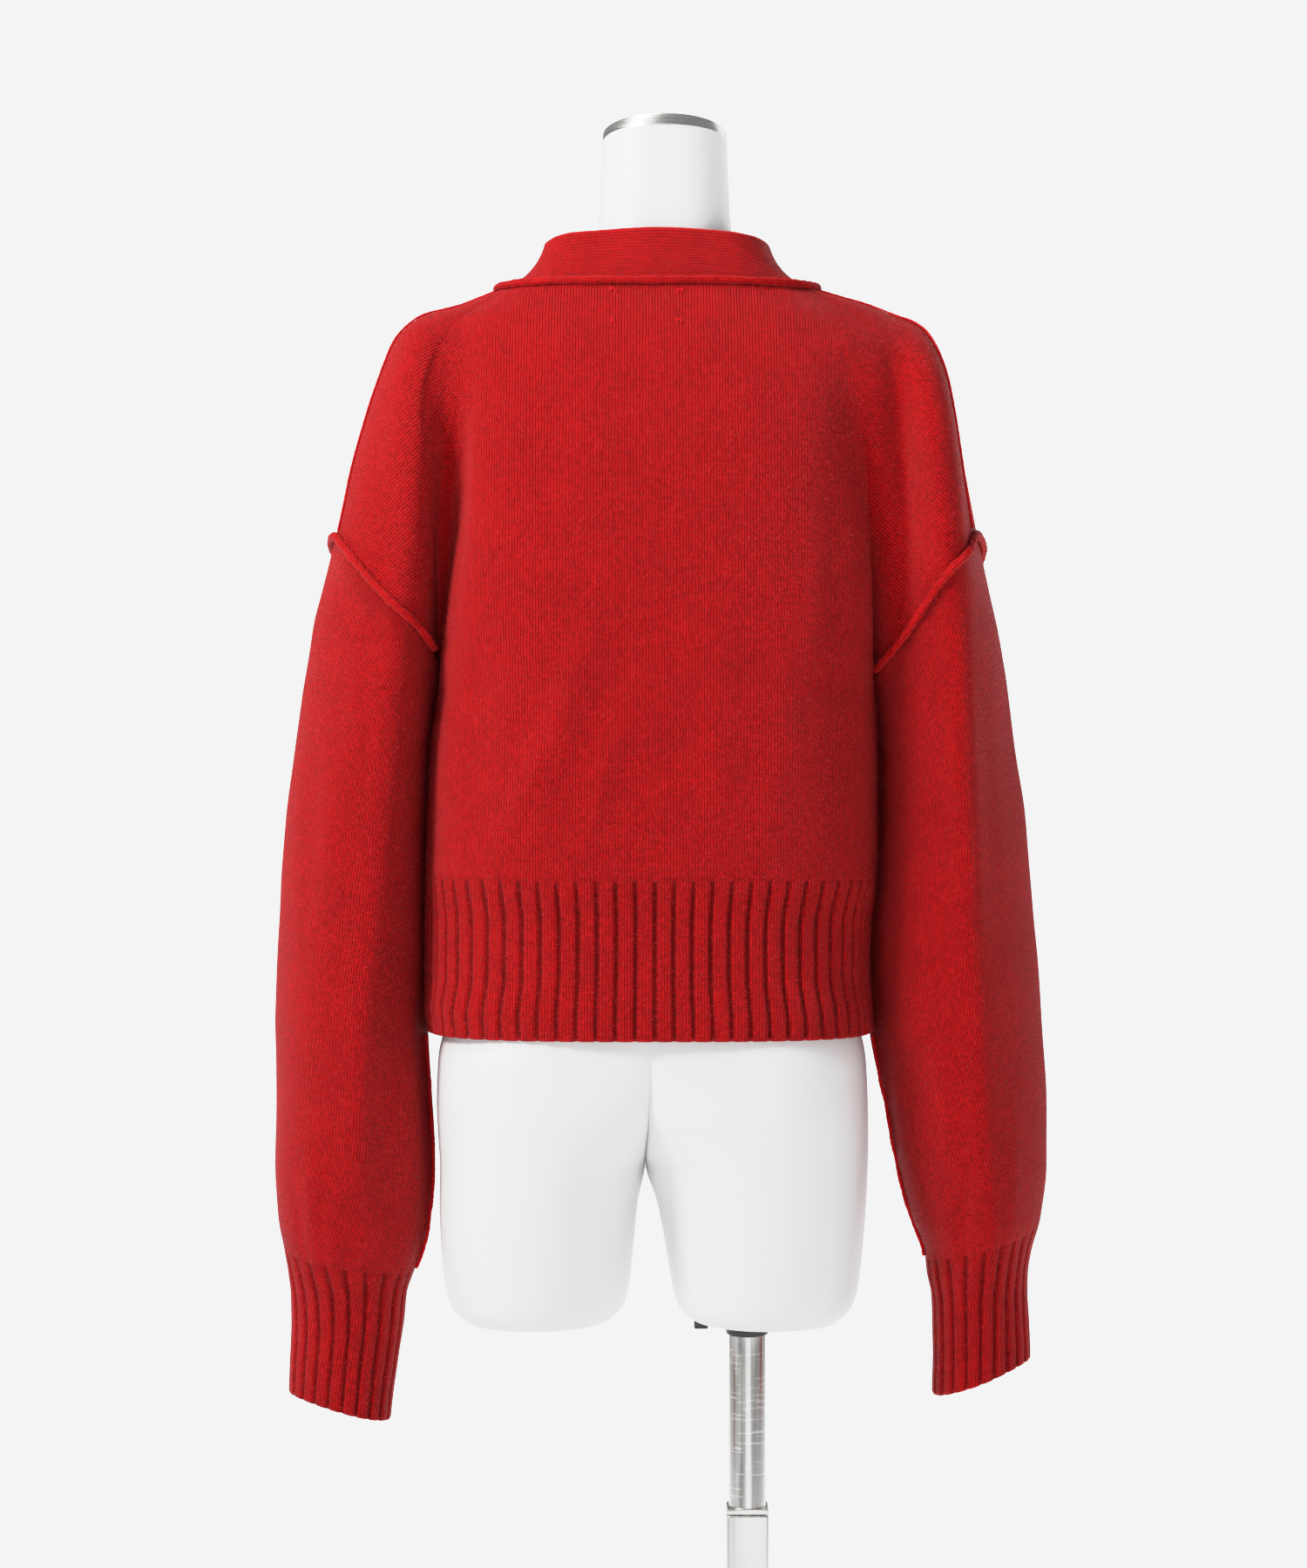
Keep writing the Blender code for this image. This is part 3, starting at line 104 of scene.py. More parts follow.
# The body: depths of back and front from the side line, how square the panel's arc is,
# and how deep the front's shoulder is beside the back's.
BODY_COLUMNS = ("height", "back", "front", "square", "front_share")
BODY_ROWS = (
    (840, 110, 102, 3, 1),
    (862, 109, 101, 3, 1),
    (890, 106, 99, 2.7, 1),
    (925, 105, 99, 2.7, 1),
    (955, 108, 101, 3, 1),
    (1000, 109, 104, 3.1, 1),
    (1047, 110, 109, 3.2, 1),
    (1080, 111, 113, 3.2, 1),
    (1150, 112, 119, 3.2, 1),
    (1200, 110, 118, 3, 1),
    (1250, 107, 107, 2.8, 0.95),
    (1290, 101, 92, 2.5, 0.9),
    (1314, 95, 82, 2.4, 0.86),
    (1338, 84, 68, 2.2, 0.8),
    (1350, 77, 60, 2.1, 0.76),
    (1362, 67, 50, 2, 0.72),
    (1374, 56, 42, 2, 0.7),
)

# One side of the garment. waist: half width of the body, and the fold's place above the underarm.
# inner: the sleeve's inner edge. valley: the fold's depth from the side line. peak_x and peak: the
# sleeve's or shoulder's crest. outer: the outline. soft: how far the fold is rounded. flank: how
# full the outer side of the crest is (2 is round, 1.3 is a sharp crest with a flat side).
SIDE_COLUMNS = ("height", "waist", "inner", "valley", "peak_x", "peak", "outer", "soft", "flank")
LEFT_ROWS = (
    (565, 146, 185.5, 0, 220, 31, 256.5, 0, 2),
    (599, 146, 181.5, 0, 217, 30.5, 255, 0, 2),
    (623, 146, 178, 0, 215, 30.5, 254, 0, 2),
    (647, 146, 174.5, 0, 213, 31.5, 253, 0, 2),
    (665, 146, 173, 0, 213, 35, 253.5, 0, 2),
    (681, 146, 168, 0, 215, 41, 255.5, 0, 2),
    (696, 146, 162.5, 0, 217, 46, 258, 0, 2),
    (720, 146, 157.3, 0, 220, 51, 262, 0, 2),
    (756, 146, 154.9, 0, 220, 58, 264, 0, 1.95),
    (805, 146, 157.6, 0, 218, 62, 263.5, 0, 1.9),
    (853, 155.5, 159.8, 0, 216, 66, 264, 0, 1.85),
    (870, 157.5, 159.6, 0, 215, 67, 263.5, 0, 1.85),
    (890, 157.2, 158.9, 0, 213.5, 68, 263, 0, 1.8),
    (925, 157, 158.6, 0, 211.5, 69, 261.5, 0, 1.8),
    (955, 156.4, 158, 0, 210, 70, 260, 0, 1.8),
    (1000, 155, 156.6, 0, 206, 71, 256, 0, 1.8),
    (1047, 152.6, 154.2, 0, 199, 72, 250, 0, 1.8),
    (1080, 149.4, 150.2, 0, 191, 73, 245.5, 0, 1.8),
    (1094, 148.9, 149.6, 12, 189, 73.5, 243, 0, 1.8),
    (1108, 148.2, 148.9, 21, 187, 74, 240.5, 1, 1.8),
    (1130, 147, 148.5, 29, 186, 75, 237, 4, 1.8),
    (1150, 145.5, 147.5, 36, 186, 76, 232, 6, 1.85),
    (1193, 142, 145, 49, 184, 78, 221.5, 10, 1.9),
    (1240, 138, 142, 60, 172, 78, 211, 16, 2),
    (1290, 132, 138, 68, 160, 75, 196, 22, 2),
    (1314, 128, 133, 68, 150, 70, 187, 22, 2),
    (1326, 124, 129, 66, 142, 63, 181, 20, 2),
    (1338, 118, 123, 61, 132, 54, 166, 18, 2),
    (1350, 104, 108, 54, 114, 46, 138, 14, 2),
    (1362, 92, 95, 44, 98, 38, 105, 9, 2),
    (1374, 73, 75, 34, 77, 30, 80, 6, 2),
)
RIGHT_ROWS = (
    (565, 144, 193.5, 0, 226, 34, 261, 0, 1.7),
    (599, 144, 193, 0, 226, 34, 261, 0, 1.7),
    (623, 144, 193.5, 0, 226, 34, 261, 0, 1.7),
    (647, 144, 193, 0, 226, 35, 260, 0, 1.7),
    (665, 144, 192, 0, 226, 37, 259, 0, 1.65),
    (680, 144, 189, 0, 227, 41, 259.5, 0, 1.6),
    (696, 144, 187.5, 0, 228, 46, 262, 0, 1.55),
    (720, 144, 178.5, 0, 229, 51, 268.5, 0, 1.5),
    (756, 144, 169, 0, 227, 58, 272, 0, 1.45),
    (805, 144, 159.5, 0, 224, 62, 272, 0, 1.4),
    (853, 148.8, 151, 0, 220, 66, 269, 0, 1.4),
    (870, 148.2, 149.8, 0, 219, 67, 268, 0, 1.4),
    (890, 147.3, 148.9, 0, 218, 68, 266.5, 0, 1.4),
    (925, 147.8, 149.4, 0, 215, 69, 263.5, 0, 1.4),
    (955, 150.6, 152.2, 0, 213, 70, 261, 0, 1.4),
    (1000, 151.6, 153.2, 0, 210, 71, 257, 0, 1.4),
    (1047, 151, 152.5, 0, 207, 72, 250, 0, 1.45),
    (1080, 149.4, 150.2, 0, 206, 73, 246, 0, 1.5),
    (1094, 148.9, 149.6, 12, 206, 73.5, 244, 0, 1.52),
    (1108, 148.2, 148.9, 21, 205.5, 74, 241.5, 1, 1.55),
    (1130, 147, 148.5, 29, 205, 75, 237.5, 4, 1.6),
    (1150, 145.5, 147.5, 36, 204.5, 76, 233, 6, 1.65),
    (1193, 142, 145, 49, 197, 78, 223.5, 10, 1.72),
    (1240, 138, 142, 60, 190, 78, 213.5, 14, 1.78),
    (1290, 132, 138, 68, 182, 75, 204, 18, 1.8),
    (1314, 128, 133, 68, 166, 69, 196, 20, 2),
    (1326, 124, 129, 66, 152, 63, 191, 20, 2),
    (1338, 118, 123, 61, 138, 54, 179, 18, 2),
    (1350, 104, 108, 54, 117, 46, 150, 14, 2),
    (1362, 92, 95, 44, 99, 38, 108, 9, 2),
    (1374, 73, 75, 34, 77, 30, 82, 6, 2),
)

# The largest soft folds of the back and front panels: ends of the crest (x, height), its half
# width and how far it stands out. A negative rise is a trough.
FOLD_COLUMNS = ("face", "x_top", "top", "x_foot", "foot", "spread", "rise")
FOLD_ROWS = (
    ("back", 36, 1160, 82, 975, 13, 3.2),
    ("back", 66, 1070, 106, 968, 9, 2.4),
    ("back", 16, 1090, 52, 968, 11, 2.2),
    ("back", 118, 1120, 122, 985, 10, -3),
    ("back", -46, 1110, -38, 975, 15, 2.2),
    ("back", -92, 1130, -80, 985, 16, 1.8),
    ("back", -118, 1240, -128, 1010, 9, -2.4),
    ("front", 112, 1150, 74, 985, 13, 3),
    ("front", -112, 1150, -78, 985, 13, 3),
    ("front", 60, 1080, 46, 975, 11, 2),
    ("front", -66, 1090, -50, 975, 11, 2),
)

# Creases pressed into the cloth by hand, besides those folds: where they lie, which face (1 is the
# back, -1 the front), the ends of the crest, its half width and how far it stands out.
CREASE_COLUMNS = ("on", "face", "x_top", "top", "x_foot", "foot", "spread", "rise")
CREASE_ROWS = (
    # the deep folds beside the back, and the crests outside them
    ("both", 1, 134, 1330, 142, 1100, 12, -8),
    ("both", 1, 159, 1345, 170, 1110, 15, 12),
    ("both", 1, -139, 1300, -147, 1090, 10, 3.5),
    ("both", 1, -163, 1330, -169, 1105, 10, -10),
    ("both", 1, -182, 1345, -203, 1120, 12, 11),
    ("arm", 1, 169, 1160, 193, 880, 15, 9),
    ("arm", 1, 194, 940, 206, 700, 14, 6),
    ("arm", 1, -203, 1150, -214, 880, 12, 8),
    ("arm", 1, -218, 900, -220, 720, 11, 3),
    ("both", -1, 146, 1310, 150, 1110, 12, -5),
    ("both", -1, 176, 1320, 190, 1130, 16, 7),
    ("both", -1, -146, 1310, -150, 1110, 12, -5),
    ("both", -1, -178, 1320, -196, 1130, 15, 7),
    # the left sleeve, back
    ("arm", 1, 201, 1125, 208, 1010, 6, 1),
    ("arm", 1, 232, 1080, 236, 900, 8, -1.6),
    ("arm", 1, 176, 900, 190, 735, 9, -1.8),
    ("arm", 1, 236, 780, 232, 690, 6, 1.6),
    ("arm", 1, 205, 760, 208, 684, 5, -1.6),
    ("arm", 1, 222, 735, 219, 682, 4.5, 1.3),
    ("arm", 1, 190, 735, 186, 676, 5, 1.1),
    ("arm", 1, 244, 742, 241, 690, 4, -1.1),
    # the right sleeve, back
    ("arm", 1, -176, 1130, -172, 980, 9, -1.6),
    ("arm", 1, -238, 1120, -247, 960, 8, -1.6),
    ("arm", 1, -190, 860, -205, 735, 8, 1.5),
    ("arm", 1, -245, 800, -244, 700, 6, 1.3),
    ("arm", 1, -212, 765, -211, 690, 5, -1.5),
    ("arm", 1, -232, 745, -229, 695, 4.5, 1.3),
    ("arm", 1, -199, 740, -201, 690, 4.5, 1.1),
    # both sleeves, front
    ("arm", -1, 195, 1110, 205, 950, 10, 2.4),
    ("arm", -1, 230, 900, 226, 735, 8, -1.6),
    ("arm", -1, 205, 760, 208, 684, 5, -1.5),
    ("arm", -1, 222, 735, 219, 682, 4.5, 1.3),
    ("arm", -1, -200, 1110, -208, 950, 10, 2.4),
    ("arm", -1, -236, 900, -232, 735, 8, -1.6),
    ("arm", -1, -212, 765, -211, 690, 5, -1.5),
    ("arm", -1, -232, 745, -229, 695, 4.5, 1.3),
)

# The band round the neck, from the centre back (0) to the V point (1): how far its free edge
# leans in, rises above the seam and lies back from it, and how hollow the band is between them.
BAND_COLUMNS = ("station", "inward", "rise", "back", "hollow")
BAND_ROWS = (
    (0, 11, 35.5, 0, 1.5),
    (0.2, 18, 33, 0, 2.5),
    (0.34, 28, 28.5, 0, 4.5),
    (0.44, 30, 25, 0, 4),
    (0.55, 32.5, 22, 6, 2.5),
    (0.75, 33.5, 15.5, 7, 1),
    (0.92, 33.5, 12, 4, 0),
    (1, 34.7, 0, 0, 0),
)

# The dress form. split: the centre line's place. left, right: the outline's. cleft: the share of
# the depth left on the centre line between the thigh stubs. crest: where each side is deepest, as
# a share from the centre line to the outline. gap: half the space between the stubs.
FORM_COLUMNS = ("height", "split", "left", "right", "back", "front", "cleft", "crest", "gap")
FORM_ROWS = (
    (1464, -6.5, 36.7, 49.7, 40, 45, 1, 0.14, 0),
    (1440, -6.5, 37.7, 50.7, 41, 48, 1, 0.14, 0),
    (1408, -6.5, 39.4, 52.4, 43, 50, 1, 0.14, 0),
    (1385, -6, 48, 60, 46, 50, 1, 0.16, 0),
    (1370, -5, 68, 78, 50, 46, 1, 0.18, 0),
    (1357.5, -4, 97, 102, 57, 44, 1, 0.2, 0),
    (1345.5, -4, 133.5, 143, 65.6, 49.5, 1, 0.25, 0),
    (1333.5, -4, 160.5, 169, 71.5, 55.2, 1, 0.28, 0),
    (1318, -4, 174, 183, 78, 65, 1, 0.25, 0),
    (1290, -4, 172, 178, 82, 72, 1, 0.2, 0),
    (1250, -3, 156, 160, 88, 84, 1, 0.2, 0),
    (1210, -1, 141, 142, 92, 97, 1, 0.25, 0),
    (1180, 0, 136, 136, 94, 103, 1, 0.3, 0),
    (1140, 0, 132, 132, 94, 102, 1, 0.3, 0),
    (1080, 0, 126, 126, 90, 95, 1, 0.3, 0),
    (1030, 0, 118, 118, 84, 86, 1, 0.3, 0),
    (980, 0, 122, 122, 85, 84, 1, 0.35, 0),
    (930, 0, 131, 131, 88, 84, 1, 0.32, 0),
    (890, 0.5, 136.5, 136, 93, 87, 0.99, 0.33, 0),
    (862, 2, 143, 139.5, 97, 89, 0.97, 0.36, 0),
    (830, 3, 150.5, 146, 104, 91, 0.92, 0.48, 0),
    (800, 4, 151.5, 147.5, 104, 90, 0.8, 0.48, 0),
    (778, 5.5, 150.5, 147.9, 101, 88, 0.55, 0.48, 0),
    (764, 6.8, 149.6, 147.8, 99, 87, 0.25, 0.48, 0),
    (757, 7, 149.2, 147.6, 98, 86, 0, 0.48, 0),
    (730, 5.5, 149.6, 146.4, 94, 84, 0, 0.48, 6.5),
    (700, 4, 148.4, 144, 89, 81, 0, 0.48, 11),
    (672, 3.2, 145.2, 140.6, 84, 77, 0, 0.48, 15),
    (658, 3, 141, 136, 79, 73, 0, 0.48, 19),
    (651, 3, 133.5, 129, 71, 66, 0, 0.48, 26),
)
FORM_SQUARE = 2.3
NECK_TOP = 1464.0
NECK_TILT = math.radians(10.0)

# What each knitted piece was cut or shaped to, flat: its width, length and share of that box.
CUTS = {
    "back": (0.56, 0.44, 0.80),
    "front_left": (0.34, 0.44, 0.67),
    "front_right": (0.34, 0.44, 0.67),
    "sleeve_left": (0.39, 0.52, 0.82),
    "sleeve_right": (0.39, 0.52, 0.82),
    "back_rib": (0.42, 0.105, 1.0),
    "front_left_rib": (0.19, 0.105, 1.0),
    "front_right_rib": (0.19, 0.105, 1.0),
    "cuff_left": (0.19, 0.10, 1.0),
    "cuff_right": (0.19, 0.095, 1.0),
    "front_band": (0.038, 1.40, 1.0),
}


# ---- what a user would change
COLOUR = {"size": 3, "subtype": "COLOR"}


class CARDIGAN_PG_look(bpy.types.PropertyGroup):
    """Sizes and colours of the cardigan, its form and its studio."""

    wall: bpy.props.FloatProperty(
        name="Knitted wall", description="Thickness of the knitted cloth",
        default=0.0028, min=0.001, max=0.006, unit="LENGTH")
    wale: bpy.props.FloatProperty(
        name="Wale", description="Width of one column of stitches",
        default=0.00205, min=0.0005, max=0.02, unit="LENGTH")
    course: bpy.props.FloatProperty(
        name="Course", description="Height of one row of stitches",
        default=0.00155, min=0.0005, max=0.02, unit="LENGTH")
    mesh_step: bpy.props.FloatProperty(
        name="Mesh step", description="Size of one face of the knitted pieces",
        default=0.0029, min=0.001, max=0.02, unit="LENGTH")
    yarn: bpy.props.FloatVectorProperty(
        name="Yarn", description="Colour of the yarn where the light falls",
        default=(0.54, 0.0042, 0.0060), **COLOUR)
    # Painted shade: the darker colour painted in the hollows between and inside the stitches, where
    # shade falls.
    yarn_painted_shade: bpy.props.FloatVectorProperty(
        name="Yarn between stitches", description="Colour of the yarn between the stitches",
        default=(0.13, 0.0006, 0.0010), **COLOUR)
    yarn_bloom: bpy.props.FloatVectorProperty(
        name="Yarn bloom", description="Colour of the loose fibres on the surface",
        default=(0.72, 0.050, 0.055), **COLOUR)
    fibres: bpy.props.FloatProperty(
        name="Fibres", description="Loose fibres on a square metre of knit",
        default=52000.0, min=0.0, max=400000.0)
    button: bpy.props.FloatVectorProperty(
        name="Button", description="Colour of the buttons",
        default=(0.28, 0.006, 0.010), **COLOUR)
    form_white: bpy.props.FloatVectorProperty(
        name="Form", description="Colour of the dress form's shell",
        default=(0.80, 0.80, 0.795), **COLOUR)
    steel: bpy.props.FloatVectorProperty(
        name="Steel", description="Colour of the brushed steel",
        default=(0.66, 0.645, 0.625), **COLOUR)
    backdrop: bpy.props.FloatVectorProperty(
        name="Backdrop", description="Colour of the studio's floor and wall",
        default=(1.70, 1.73, 1.76), **COLOUR)
    key_light: bpy.props.FloatProperty(
        name="Key light", description="Power of the large soft light", default=27.0, min=0.0)


def look():
    return bpy.context.scene.cardigan_look


# ---- reading the tables
def cubic(values, slopes, cell, span, t):
    """Values on the way t through a cell, by a cubic between its ends."""
    rise = slopes[cell] * span * (t ** 3 - 2 * t ** 2 + t)
    rise = rise + slopes[cell + 1] * span * (t ** 3 - t ** 2)
    share = 3 * t ** 2 - 2 * t ** 3
    return values[cell] * (2 * t ** 3 - 3 * t ** 2 + 1) + values[cell + 1] * share + rise


class Table:
    """Rows of figures, read at any height by one smooth curve for each column."""

    def __init__(self, names, rows):
        ordered = sorted(rows)
        self.names = names[1:]
        self.knots = np.array([row[0] for row in ordered], dtype=float)
        self.values = np.array([row[1:] for row in ordered], dtype=float)
        self.slopes = self._slopes()

    def _slopes(self):
        """Slopes that keep each column between its rows, with no overshoot."""
        steps = np.diff(self.knots)[:, None]
        rates = np.diff(self.values, axis=0) / steps
        slopes = np.zeros_like(self.values)
        before, after = rates[:-1], rates[1:]
        same_way = before * after > 0
        mean = 2 * before * after / np.where(same_way, before + after, 1.0)
        slopes[1:-1] = np.where(same_way, mean, 0.0)
        slopes[0], slopes[-1] = rates[0], rates[-1]
        return slopes

    def at(self, where):
        where = float(np.clip(where, self.knots[0], self.knots[-1]))
        cell = int(np.clip(np.searchsorted(self.knots, where) - 1, 0, len(self.knots) - 2))
        span = self.knots[cell + 1] - self.knots[cell]
        t = (where - self.knots[cell]) / span
        row = cubic(self.values, self.slopes, cell, span, t)
        return SimpleNamespace(**dict(zip(self.names, row)))


BODY = Table(BODY_COLUMNS, BODY_ROWS)
FORM = Table(FORM_COLUMNS, FORM_ROWS)
BAND = Table(BAND_COLUMNS, BAND_ROWS)
FOLDS, CREASES = ([SimpleNamespace(**dict(zip(columns, row))) for row in rows]
                  for columns, rows in ((FOLD_COLUMNS, FOLD_ROWS), (CREASE_COLUMNS, CREASE_ROWS)))


# ---- section curves
ARC_POINTS = 96
INSIDE_POWER = 2.2
MIRRORED = int(1.5 * ARC_POINTS)     # how much of the section is repeated beyond its ends
LEVEL_POINTS = 900
SOFT_REACH = (1.45, 0.9)   # arcs from a fold where softening has ended, and over how many
FOLD_RUN_OUT = 0.25        # a fold runs out this share of its length beyond its ends
CREASE_RUN_OUT = 0.2
FOLD_EDGE_FADE = 14.0      # folds of a panel fade this near its side


def smooth(share):
    """An ease from 0 to 1."""
    share = np.clip(share, 0.0, 1.0)
    return share * share * (3 - 2 * share)


def run_of(points):
    """Distance along a curve at each of its points."""
    steps = np.linalg.norm(np.diff(points, axis=0), axis=1)
    return np.concatenate(([0.0], np.cumsum(steps)))


def even(points, count):
    """The same curve as a number of points, evenly spaced along it."""
    run = run_of(points)
    if run[-1] < 1e-9:
        return np.repeat(points[:1], count, axis=0)
    wanted = np.linspace(0.0, run[-1], count)
    columns = [np.interp(wanted, run, points[:, axis]) for axis in range(points.shape[1])]
    return np.column_stack(columns)


def quarter(start, end, power, upright):
    """A quarter of a superellipse. upright: it leaves its start along Y, else along X."""
    turn = np.linspace(0.0, math.pi / 2, ARC_POINTS * 3)
    sine = np.sin(turn) ** (2 / power)
    cosine = np.clip(np.cos(turn), 0.0, 1.0) ** (2 / power)
    if upright:
        x = end[0] + (start[0] - end[0]) * cosine
        y = start[1] + (end[1] - start[1]) * sine
    else:
        x = start[0] + (end[0] - start[0]) * sine
        y = end[1] + (start[1] - end[1]) * cosine
    return even(np.column_stack((x, y)), ARC_POINTS)


def softened(points, spread):
    """The section rounded over a spread in millimetres near its fold, and left at its outline."""
    mirror = points * (-1, 1)
    whole = np.vstack((mirror[1:MIRRORED][::-1], points, mirror[-MIRRORED:-1][::-1]))
    run = run_of(whole)
    level = np.linspace(0.0, run[-1], LEVEL_POINTS)
    step = level[1]
    reach = max(int(3 * spread / step), 1)
    weight = np.exp(-0.5 * (np.arange(-reach, reach + 1) * step / spread) ** 2)
    weight /= weight.sum()
    own_run = run[MIRRORED - 1:MIRRORED - 1 + len(points)]
    place = np.arange(len(points)) / ARC_POINTS
    near = np.minimum(np.abs(place - 1.0), np.abs(place - 5.0))
    share = smooth((SOFT_REACH[0] - near) / SOFT_REACH[1])
    share = share * smooth(np.minimum(place, 6.0 - place) / 0.35)
    result = points.copy()
    for axis in range(2):
        line = np.interp(level, run, whole[:, axis])
        padded = np.pad(line, reach, mode="edge")
        rounded = np.convolve(padded, weight, mode="valid")
        result[:, axis] += share * (np.interp(own_run, level, rounded) - points[:, axis])
    return result


def fold_rise(face, x, height):
    """How far the panel's largest folds move it out at a place."""
    total = np.zeros_like(x)
    for fold in FOLDS:
        if fold.face != face:
            continue
        along = (fold.top - height) / (fold.top - fold.foot)
        if not -FOLD_RUN_OUT < along < 1 + FOLD_RUN_OUT:
            continue
        crest = fold.x_top + (fold.x_foot - fold.x_top) * along
        fade = math.sin(math.pi * (along + FOLD_RUN_OUT) / (1 + 2 * FOLD_RUN_OUT)) ** 2
        total += fold.rise * fade * np.exp(-((x - crest) / fold.spread) ** 2)
    return total


def section(table, sign, height):
    """The six arcs of half a section at a height."""
    row, body = table.at(height), BODY.at(height)
    halves = []
    for face, depth, share in ((1, body.back, 1.0), (-1, body.front, body.front_share)):
        valley, peak = row.valley * share, row.peak * share
        panel = quarter((0, depth), (row.waist, valley), body.square, False)
        inside = quarter((row.inner, valley), (row.peak_x, peak), INSIDE_POWER, True)
        flank = quarter((row.peak_x, peak), (row.outer, 0), row.flank, False)
        halves.append(np.vstack((panel, inside, flank)) * (1, face))
    points = np.vstack((halves[0], halves[1][::-1]))
    if row.soft > 0.3:
        points = softened(points, row.soft)
    back, front = slice(0, ARC_POINTS), slice(5 * ARC_POINTS, None)
    for face, part, way in (("back", back, 1), ("front", front, -1)):
        edge_fade = np.clip((row.waist - points[part, 0]) / FOLD_EDGE_FADE, 0.0, 1.0)
        points[part, 1] += way * edge_fade * fold_rise(face, sign * points[part, 0], height)
    return points


class Side:
    """One side of the garment as a surface of heights and places, read between its samples."""

    def __init__(self, name, sign, rows, strip, valley_top):
        self.name, self.sign = name, sign
        self.table = Table(SIDE_COLUMNS, rows)
        self.strip = strip                # how far the shoulder seam lies inside the outline
        self.valley_top = valley_top      # where the armhole seam comes out of the fold
        self.low, self.high = 565.0, 1374.0
        self.levels = np.arange(self.low, self.high + 0.5, 1.0)
        self.lattice = np.array([section(self.table, sign, level) for level in self.levels])

    def at(self, height):
        return self.table.at(height)

    def flat(self, heights, places):
        """Points (x, y, height) for arrays of heights and places, x still on the +X side."""
        heights = np.asarray(heights, dtype=float)
        places = np.asarray(places, dtype=float)
        arc = np.clip(np.floor(places), 0, 5)
        column = arc * ARC_POINTS + (places - arc) * (ARC_POINTS - 1)
        left = np.clip(np.floor(column).astype(int), 0, 6 * ARC_POINTS - 2)
        left = np.where(places - arc >= 1.0, (arc * ARC_POINTS).astype(int) + ARC_POINTS - 2, left)
        across = (column - left)[..., None]
        level = np.clip(heights - self.low, 0, len(self.levels) - 1.001)
        row = level.astype(int)
        up = (level - row)[..., None]
        corners = self.lattice
        low = corners[row, left] * (1 - across) + corners[row, left + 1] * across
        top = corners[row + 1, left] * (1 - across) + corners[row + 1, left + 1] * across
        return np.concatenate((low * (1 - up) + top * up, heights[..., None]), axis=-1)

    def points(self, heights, places):
        return self.flat(heights, places) * (self.sign, 1, 1)

    def normals(self, heights, places, first=0.0, last=6.0):
        """Outward normals, measured inside the piece that runs from place first to last."""
        heights = np.asarray(heights, dtype=float)
        places = np.asarray(places, dtype=float)
        before = np.clip(places - 0.03, first, last)
        after = np.clip(places + 0.03, first, last)
        along = self.flat(heights, after) - self.flat(heights, before)
        at_centre = ((places < 1e-6) | (places > 6 - 1e-6))[..., None]
        level_way = np.array((1.0, 0.0, 0.0)) * (1 - places[..., None] / 3)
        along = np.where(at_centre, level_way, along)
        upward = self.flat(heights + 1.5, places) - self.flat(heights - 1.5, places)
        normal = np.cross(upward, along)
        normal /= np.maximum(np.linalg.norm(normal, axis=-1, keepdims=True), 1e-9)
        return normal * (self.sign, 1, 1)

    def place_of_x(self, height, x, first, last):
        """The place between first and last where the section is x from the centre."""
        places = np.linspace(first, last, 240)
        values = self.flat(np.full_like(places, height), places)[:, 0]
        if values[0] > values[-1]:
            places, values = places[::-1], values[::-1]
        return float(np.interp(x, values, places))


LEFT = Side("left", 1, LEFT_ROWS, strip=4.0, valley_top=1108.0)
RIGHT = Side("right", -1, RIGHT_ROWS, strip=8.0, valley_top=1094.0)
SIDES = (LEFT, RIGHT)
FOLD_EDGE = 1 - 1e-9       # the back panel's last place before the fold
FRONT_FOLD_EDGE = 5.0      # the front panel's first place after it
FRONT_SLEEVE_EDGE = 5 - 1e-9
SIDE_INSET = 0.0009        # half the seam gap, as a share of a panel's arc
EDGE_INSET = 0.003         # half the seam gap, as a share of a shoulder's arc
BAND_INSET = 0.0032        # the band's gap to the front panel, as a share of that panel's arc


def seam_place(side, height):
    """The shoulder seam's place, a strip inside the outline on the back."""
    outline = side.at(height).outer
    inset = side.strip * min(1.0, 0.35 + (NECK_LINE - height) / 60.0)
    return side.place_of_x(height, outline - inset, 1.05, 3.0)


def drop_share(side, height):
    """How far down the armhole a height is: 0 at the shoulder point, 1 where it meets the fold."""
    return (SHOULDER_POINT - height) / (SHOULDER_POINT - side.valley_top)


def back_edge(side, height):
    """The back panel's outer edge: shoulder seam, then armhole."""
    if height >= SHOULDER_POINT:
        return seam_place(side, height)
    top_x = side.at(SHOULDER_POINT).outer - side.strip
    fold_x = side.at(side.valley_top).inner + 0.5
    x = top_x + (fold_x - top_x) * drop_share(side, height)
    return side.place_of_x(height, x, 1.0, 3.0)


def front_edge(side, height):
    """The front panel's outer edge: shoulder seam, then armhole round the outer side."""
    if height >= SHOULDER_POINT:
        return seam_place(side, height)
    start = seam_place(side, SHOULDER_POINT)
    return start + (FRONT_SLEEVE_EDGE - start) * max(drop_share(side, height), 0.0) ** 0.62


def band_place(side, height):
    """The place of the band's seam on a front panel."""
    share = float(np.clip((height - V_POINT) / (NECK_LINE - V_POINT), 0.0, 1.0))
    x = BAND_EDGE + (V_TOP_X - BAND_EDGE) * share ** 0.85
    return side.place_of_x(height, x, 3.2, 6.0)


# ---- small unevenness of the cloth
SLOW_RIPPLE = 0.42
QUICK_RIPPLE = 0.14
GAP_X = 154.0              # where the sleeve lies beside the body
GAP_SPREAD = 12.0
GAP_DEPTH = 22.0
GAP_SLANT = 0.3            # millimetres sideways for each millimetre of depth


